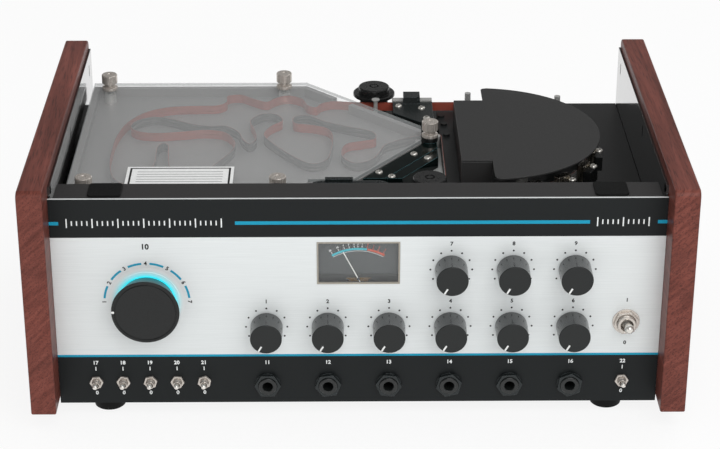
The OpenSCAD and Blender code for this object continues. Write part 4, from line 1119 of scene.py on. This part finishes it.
class ECHO_OT_tape(bpy.types.Operator):
    """Makes the tape loop, from the folds in the tank round the heads and back"""

    bl_idname = "echo.tape"
    bl_label = "Tape loop"

    def execute(self, context):
        deck = context.scene.echo_deck
        line_y, post_r = 88.6, 4.5
        post_at = (74.0, line_y - post_r)
        line_x = PINCH_AT[0] + PINCH_R + TURN_GAP
        capstan_at = (line_x + CAPSTAN_R, PINCH_AT[1])
        entry_at = (line_x - post_r, 27.0)
        post_out = tangent_angle(post_at, post_r, ARC_AT, ARC_R)
        arc_out = tangent_angle(ARC_AT, ARC_R, capstan_at, CAPSTAN_R)
        path = spline(FOLDS, 6) + [(ROLLER_AT[0], line_y)]
        path += arc_points(post_at, post_r, 90, post_out, 6)
        path += arc_points(ARC_AT, ARC_R, post_out, arc_out, 40)
        path += arc_points(capstan_at, CAPSTAN_R, arc_out, -180, 10)
        path += arc_points(entry_at, post_r, 0, 105, 10)
        low, high = (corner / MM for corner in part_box("tape_loop"))
        bm = bmesh.new()
        points = [bm.verts.new((x, y, low.z)) for x, y in path]
        rim = [bm.edges.new(pair) for pair in zip(points, points[1:] + points[:1])]
        risen = bmesh.ops.extrude_edge_only(bm, edges=rim)["geom"]
        tops = [made for made in risen if isinstance(made, bmesh.types.BMVert)]
        bmesh.ops.translate(bm, vec=(0, 0, high.z - low.z), verts=tops)
        bmesh.ops.recalc_face_normals(bm, faces=bm.faces)
        back = bm.copy()
        thick = 0.2
        bmesh.ops.solidify(bm, geom=bm.faces[:], thickness=thick)
        bmesh.ops.solidify(back, geom=back.faces[:], thickness=-thick)
        piece("tape_band", [
            (bm, self.tape("Polyester tape, oxide side", deck.tape_front, 0.32)),
            (back, self.tape("Polyester tape, back side", deck.tape_back, 0.24))],
            hides=("tape_loop",))
        return {"FINISHED"}

    def tape(self, name, colour, roughness):
        """Coated polyester film: a thin even colour with a long soft shine and faint lengthwise scuffs"""

        def shade(tree):
            scuffs = grain(tree, 0.5, (30, 30, 1), 2.0)
            gloss = node(tree, "MapRange", {"Value": scuffs},
                         span=(0.3, 0.7, roughness - 0.06, roughness + 0.08))
            tone = node(tree, "MapRange", {"Value": scuffs}, span=(0.3, 0.7, 0.85, 1.15))
            hue = node(tree, "VectorMath", {0: tuple(colour), 3: tone}, operation="SCALE")
            return node(tree, "BsdfPrincipled", {"Base Color": hue, "Roughness": gloss, "IOR": 1.6})

        return material(name, shade)


class ECHO_OT_rails(bpy.types.Operator):
    """Makes the two dark bars along the tank's slanted side, and finishes the brushed plate there"""

    bl_idname = "echo.rails"
    bl_label = "Rails"

    def execute(self, context):
        slant = SLANT_TO - SLANT_FROM
        lean = Matrix.Translation((*SLANT_FROM, 0)) @ Matrix.Rotation(
            math.atan2(slant.y, slant.x), 4, "Z")
        bars = []
        for start, wide, back in ((0.9, 12.2, 23.5), (13.7, 8.2, 40.0)):
            bm = shaped(block, (-30, -start - wide, 129.0), (slant.length + 20, -start, TANK_TOP))
            turned(bm, lean)
            for point, normal in (((-10, 0, 0), (-1, 0, 0)), ((54.2, 0, 0), (1, 0, 0)),
                                  ((0, -44, 0), (0, -1, 0)), ((0, back, 0), (0, 1, 0))):
                cut_off(bm, point, normal)
            bars.append((soften(bm, 0.35, 2), smoked_glass_black()))
        collar = shaped(lathe, APEX_STUD, [(2.2, 137.0), (5.3, 137.0), (5.5, 137.3), (5.5, 139.7),
                                           (5.3, 140.0), (2.2, 140.0)])
        piece("rail_bars", bars + [(collar, turned_black())], hides=("tank_rails",))
        dress("rail_plate", brushed_plate())
        return {"FINISHED"}


class ECHO_OT_guides(bpy.types.Operator):
    """Finishes the tape guides and makes the round-headed screws"""

    bl_idname = "echo.guides"
    bl_label = "Tape guides"

    def execute(self, context):
        # The grey-blue edge colour is a painted highlight along the guides' edges
        dress("tape_guides", worked("Acetal, dark green black, milled", "#0e1414", "#161d1d", 0.6,
                                    0.26, bump=0.01, edge=0.45, wear="#47545a"))
        heads, sockets = bmesh.new(), bmesh.new()
        slant = SLANT_TO - SLANT_FROM
        along, out = slant.normalized(), Vector((slant.y, -slant.x)).normalized()
        places = [(*(SLANT_FROM + along * share * slant.length + out * offset), TANK_TOP)
                  for share, offset in ((0.77, 6.2), (0.766, 17.4), (0.29, 4.2), (0.28, 14.8))]
        places += [(x, y, 138.0) for x, y in ((48.8, 55.5), (30, 78), (46, 74))]
        places += [(*beside_arc(angle, ARC_R + TURN_GAP + 7.5, 4.2), 138.0) for angle in HEAD_ANGLES]
        places += [(*beside_arc(angle, ARC_R - 5.5), HEAD_PLATE) for angle in range(-84, 27, 22)]
        for x, y, z in places:
            lathe(heads, (x, y), [(0, z), (2.5, z), (2.5, z + 0.35), (2.3, z + 0.8),
                                  (1.85, z + 1.15), (1.5, z + 1.2), (1.45, z + 0.3),
                                  (0, z + 0.3)], 24)
            disc(sockets, (x, y), z + 0.2, z + 0.45, 1.4, steps=6)
        piece("screw_heads", [(heads, polished_nickel()), (sockets, turned_black())],
              hides=("deck_screws",))
        return {"FINISHED"}


class ECHO_OT_rollers(bpy.types.Operator):
    """Makes the rear tape roller and the pinch roller on its arm"""

    bl_idname = "echo.rollers"
    bl_label = "Rollers"

    def execute(self, context):
        rear = shaped(lathe, ROLLER_AT, [
            (3.06, 127.0), (9.5, 127.0), (9.9, 127.4), (9.9, 138.0), (14.2, 138.0), (14.7, 138.5),
            (14.7, 140.1), (14.2, 140.6), (10.9, 140.6), (10.9, 144.4), (10.3, 145.0),
            (3.4, 145.0), (3.3, 144.2), (2.2, 144.2), (2.2, 145.0), (0.0, 145.0), (0.0, 141.3),
            (3.06, 141.3)], 64)
        piece("rear_roller_turned", [(rear, turned_black())], body="rear_roller",
              hides=("rear_roller",))
        pinch = shaped(lathe, PINCH_AT, [
            (2.06, 125.3), (5.0, 125.3), (5.0, 128.0), (10.2, 128.0), (PINCH_R, 128.4),
            (PINCH_R, 138.0), (11.0, 138.2), (11.0, 143.3), (10.4, 144.0), (3.4, 144.0),
            (3.3, 143.2), (2.2, 143.2), (2.2, 144.0), (0.0, 144.0), (0.0, 141.3),
            (2.06, 141.3)], 64)
        piece("pinch_roller_turned", [(pinch, turned_black())], body="pinch_roller",
              hides=("pinch_roller",))
        dress("pinch_arm", worked("Steel, zinc plated", "#8d8f90", "#a8aaab", 1.5, 0.35,
                                  Metallic=1.0))
        return {"FINISHED"}


class ECHO_OT_heads(bpy.types.Operator):
    """Makes the tape heads round the arc and finishes their base"""

    bl_idname = "echo.heads"
    bl_label = "Tape heads"

    def execute(self, context):
        dress("head_base", moulded_black("ABS, moulded black, head base", 0.45))
        cans, clamps, slots = bmesh.new(), bmesh.new(), bmesh.new()
        for angle in HEAD_ANGLES:
            place = Matrix.Translation((*ARC_AT, 0)) @ Matrix.Rotation(math.radians(angle), 4, "Z")
            inner = ARC_R + TURN_GAP
            can, clamp, slot = bmesh.new(), bmesh.new(), bmesh.new()
            block(can, (inner, -5.5, HEAD_PLATE), (inner + 5, 5.5, 141.0))
            block(clamp, (inner + 5, -6.5, HEAD_PLATE), (inner + 10, 6.5, 138.0))
            block(slot, (inner - 0.02, -0.15, HEAD_PLATE + 2), (inner + 0.5, 0.15, 139.0))
            for bm, target in ((soften(can, 0.7, 3), cans), (soften(clamp, 0.5, 2), clamps),
                               (slot, slots)):
                join(target, turned(bm, place))
        metal = worked("Mu-metal, lapped", "#9c968b", "#bab4a8", 0.8, 0.25, Metallic=1.0,
                       stretch=(1, 1, 20))
        piece("head_cans", [(cans, metal), (clamps, turned_black()), (slots, rubber())],
              hides=("tape_heads",))
        return {"FINISHED"}


class ECHO_OT_shield(bpy.types.Operator):
    """Makes the head shield with its folded tab"""

    bl_idname = "echo.shield"
    bl_label = "Head shield"

    def execute(self, context):
        top, under, base = 150.0, 148.5, 129.9
        left, tab_left, tab_front, tab_back = 87.5, 67.5, -44.8, 59.0
        swing = math.degrees(math.acos((left + 4 - SHIELD_AT[0]) / SHIELD_R))
        outline = [(tab_left, tab_front), (left, tab_front), (left, SHIELD_AT[1] - SHIELD_R + 4.3),
                   (left + 1.2, SHIELD_AT[1] - SHIELD_R + 1.4)]
        outline += arc_points(SHIELD_AT, SHIELD_R, -swing, swing, 72)
        outline += [(left + 0.8, SHIELD_AT[1] + SHIELD_R - 1.3), (left, SHIELD_AT[1] + SHIELD_R - 2.6),
                    (left, tab_back), (tab_left, tab_back)]
        sheet, walls = bmesh.new(), bmesh.new()
        plate(sheet, [outline], under, top)
        soften(sheet, 0.4, 2, 60)
        block(walls, (tab_left, tab_front, base), (tab_left + 1.5, tab_back, under))
        block(walls, (tab_left + 1.5, tab_front, base), (left, tab_front + 1.5, under))
        block(walls, (tab_left + 1.5, tab_back - 1.5, base), (left - 4, tab_back, under))
        # The grey edge colour lightens the coat's edges: wear and painted highlight together
        coat = powder_coat("shield grey", "#2c2c2c", "#313131", 0.5, Specular_IOR_Level=0.35,
                           wear="#707070")
        piece("shield_sheet", [(sheet, coat), (walls, coat)], hides=("head_shield",))
        return {"FINISHED"}


class ECHO_OT_drive(bpy.types.Operator):
    """Finishes the motor, belt, flywheel and capstan under the deck"""

    bl_idname = "echo.drive"
    bl_label = "Drive"

    def execute(self, context):
        steel = worked("Steel, ground", "#a9abac", "#c8cacb", 0.4, 0.2, stretch=(10, 10, 1),
                       Metallic=1.0)
        brass = worked("Brass, turned", "#a17f42", "#c9a55b", 0.4, 0.25, stretch=(10, 10, 1),
                       Metallic=1.0)
        dress("capstan", steel)
        dress("capstan_bearing", brass)
        dress("motor_pulley", brass)
        dress("motor", worked("Steel, drawn and zinc plated", "#85888b", "#9c9fa1", 1.5, 0.3,
                              Metallic=1.0))
        dress("drive_belt", rubber())
        return {"FINISHED"}


class ECHO_OT_insides(bpy.types.Operator):
    """Finishes the parts behind the faceplate and on the chassis bottom"""

    bl_idname = "echo.insides"
    bl_label = "Insides"

    def execute(self, context):
        dress("pot_bodies", worked("Steel, nickel plated, stamped", "#85888a", "#a2a5a6", 1.2,
                                   0.3, Metallic=1.0))
        dress("mode_switch", worked("Phenolic, moulded dark", "#2a2e2b", "#3a3f3c", 1.2, 0.45))
        dress("reverb_tank", worked("Steel, zinc plated, folded", "#8d8e8a", "#a7a8a4", 3.0, 0.35,
                                    Metallic=1.0))
        dress("transformer", worked("Copper wire, enamelled and taped", "#8c5c1e", "#b57d2c", 0.8,
                                    0.35, stretch=(1, 1, 12), bump=0.08))
        dress("main_board", worked("Glass epoxy board, green mask", "#143f2a", "#1d5b3c", 2.0,
                                   0.35, bump=0.02))
        dress("power_inlet", moulded_black("ABS, moulded black, inlet", 0.4))
        return {"FINISHED"}


class ECHO_OT_stage(bpy.types.Operator):
    """Makes the pale floor, the soft lamps and the camera"""

    bl_idname = "echo.stage"
    bl_label = "Stage"

    def execute(self, context):
        scene = context.scene
        stage = scene.echo_stage
        floor = bmesh.new()
        bmesh.ops.create_grid(floor, x_segments=1, y_segments=1, size=6.0)
        mesh = bpy.data.meshes.new("floor")
        floor.to_mesh(mesh)
        floor.free()
        mesh.materials.append(self.paper(stage))
        ground = bpy.data.objects.new("floor", mesh)
        scene.collection.objects.link(ground)
        self.sky(scene, stage)
        self.lamp(scene, "key", stage.key, 1.4, (0.35, -1.3, 1.2))
        self.lamp(scene, "rim", stage.key * 0.25, 1.2, (0.7, 0.6, 1.5))
        self.camera(scene)
        scene.view_settings.view_transform = "Standard"
        return {"FINISHED"}

    def paper(self, stage):
        """Matt white paper: to the eye and in mirrors near white, with the shadow kept faint"""

        def shade(tree):
            path = node(tree, "LightPath")
            seen = node(tree, "Math", {
                0: path.outputs["Is Camera Ray"], 1: path.outputs["Is Glossy Ray"]},
                operation="MAXIMUM")
            seen = node(tree, "Math", {0: seen, 1: path.outputs["Is Transmission Ray"]},
                        operation="MAXIMUM")
            share = node(tree, "Math", {0: seen, 1: PAPER_GLOW}, operation="MULTIPLY")
            fibre = grain(tree, 3.0)
            tone = node(tree, "ValToRGB", {"Fac": fibre},
                        [(0.0, (*stage.floor, 1.0)), (1.0, (1, 1, 1, 1))])
            matt = node(tree, "BsdfDiffuse", {"Color": tone})
            bright = node(tree, "Emission", {"Color": (1, 1, 1, 1), "Strength": 1.0})
            return node(tree, "MixShader", {0: share, 1: matt, 2: bright})

        return material("Paper, matt white", shade)

    def sky(self, scene, stage):
        """A white backdrop all round that mirrors see darken towards the ceiling"""
        world = bpy.data.worlds.new("white room")
        world.use_nodes = True
        tree = world.node_tree
        tree.nodes.clear()
        path = node(tree, "LightPath")
        seen = node(tree, "Math", {
            0: path.outputs["Is Camera Ray"], 1: path.outputs["Is Transmission Ray"]},
            operation="MAXIMUM")
        plain = node(tree, "MapRange", {"Value": seen}, span=(0.0, 1.0, stage.sky, 1.0))
        way = node(tree, "TexCoord")
        height = node(tree, "SeparateXYZ", {0: way.outputs["Generated"]})
        mirrored = node(tree, "MapRange", {"Value": height.outputs[2]},
                        span=(0.06, 0.38, 1.0, 0.12), interpolation_type="SMOOTHSTEP")
        strength = node(tree, "Mix", {
            "Factor": path.outputs["Is Glossy Ray"], 2: plain, 3: mirrored})
        light = node(tree, "Background", {"Color": (1, 1, 1, 1), "Strength": strength})
        node(tree, "OutputWorld", {"Surface": light})
        scene.world = world

    def lamp(self, scene, name, power, size, at):
        """A square soft lamp aimed at the unit"""
        lamp = bpy.data.lights.new(name, "AREA")
        lamp.energy = power
        lamp.shape = "SQUARE"
        lamp.size = size
        holder = bpy.data.objects.new(name, lamp)
        holder.location = at
        aim = Vector((0, 0, 0.08)) - Vector(at)
        holder.rotation_euler = aim.to_track_quat("-Z", "Y").to_euler()
        scene.collection.objects.link(holder)

    def camera(self, scene):
        """The photograph's view, from a fit to the cheeks' and the faceplate's edges"""
        eye = bpy.data.cameras.new("camera")
        eye.lens = 104.925
        eye.sensor_width = 36.0
        eye.clip_end = 20.0
        yaw, pitch, roll = (math.radians(a) for a in (0.640, 25.302, 0.074))
        ahead = Vector((math.sin(yaw) * math.cos(pitch), math.cos(yaw) * math.cos(pitch),
                        -math.sin(pitch)))
        side = Vector((math.cos(yaw), -math.sin(yaw), 0))
        above = side.cross(ahead)
        right = math.cos(roll) * side + math.sin(roll) * above
        up = -math.sin(roll) * side + math.cos(roll) * above
        holder = bpy.data.objects.new("camera", eye)
        turn = Matrix((right, up, -ahead)).transposed()
        holder.matrix_world = Matrix.Translation((-0.0122, -1.2903, 0.693)) @ turn.to_4x4()
        scene.collection.objects.link(holder)
        scene.camera = holder


PIECES = (
    ECHO_OT_cheeks, ECHO_OT_chassis, ECHO_OT_faceplate, ECHO_OT_knobs, ECHO_OT_mode_knob,
    ECHO_OT_jacks, ECHO_OT_switches, ECHO_OT_meter, ECHO_OT_tank, ECHO_OT_tape, ECHO_OT_rails,
    ECHO_OT_guides, ECHO_OT_rollers, ECHO_OT_heads, ECHO_OT_shield, ECHO_OT_drive,
    ECHO_OT_insides, ECHO_OT_stage,
)
SETTINGS = {
    "echo_cabinet": CabinetSettings,
    "echo_panel": PanelSettings,
    "echo_deck": DeckSettings,
    "echo_stage": StageSettings,
}


class ECHO_PT_pieces(bpy.types.Panel):
    """Lists the pieces of the tape echo unit and their settings"""

    bl_idname = "ECHO_PT_pieces"
    bl_label = "Tape echo"
    bl_space_type = "VIEW_3D"
    bl_region_type = "UI"
    bl_category = "Tape echo"

    def draw(self, context):
        for made in PIECES:
            self.layout.operator(made.bl_idname)
        for name, group in SETTINGS.items():
            box = self.layout.box()
            for entry in group.__annotations__:
                box.prop(getattr(context.scene, name), entry)


def register():
    for group in SETTINGS.values():
        bpy.utils.register_class(group)
    for name, group in SETTINGS.items():
        setattr(bpy.types.Scene, name, PointerProperty(type=group))
    for made in (*PIECES, ECHO_PT_pieces):
        bpy.utils.register_class(made)


def unregister():
    for made in (ECHO_PT_pieces, *reversed(PIECES)):
        bpy.utils.unregister_class(made)
    for name in SETTINGS:
        delattr(bpy.types.Scene, name)
    for group in SETTINGS.values():
        bpy.utils.unregister_class(group)


def main():
    register()
    for made in PIECES:
        group, name = made.bl_idname.split(".")
        getattr(getattr(bpy.ops, group), name)()


if __name__ == "__main__":
    main()
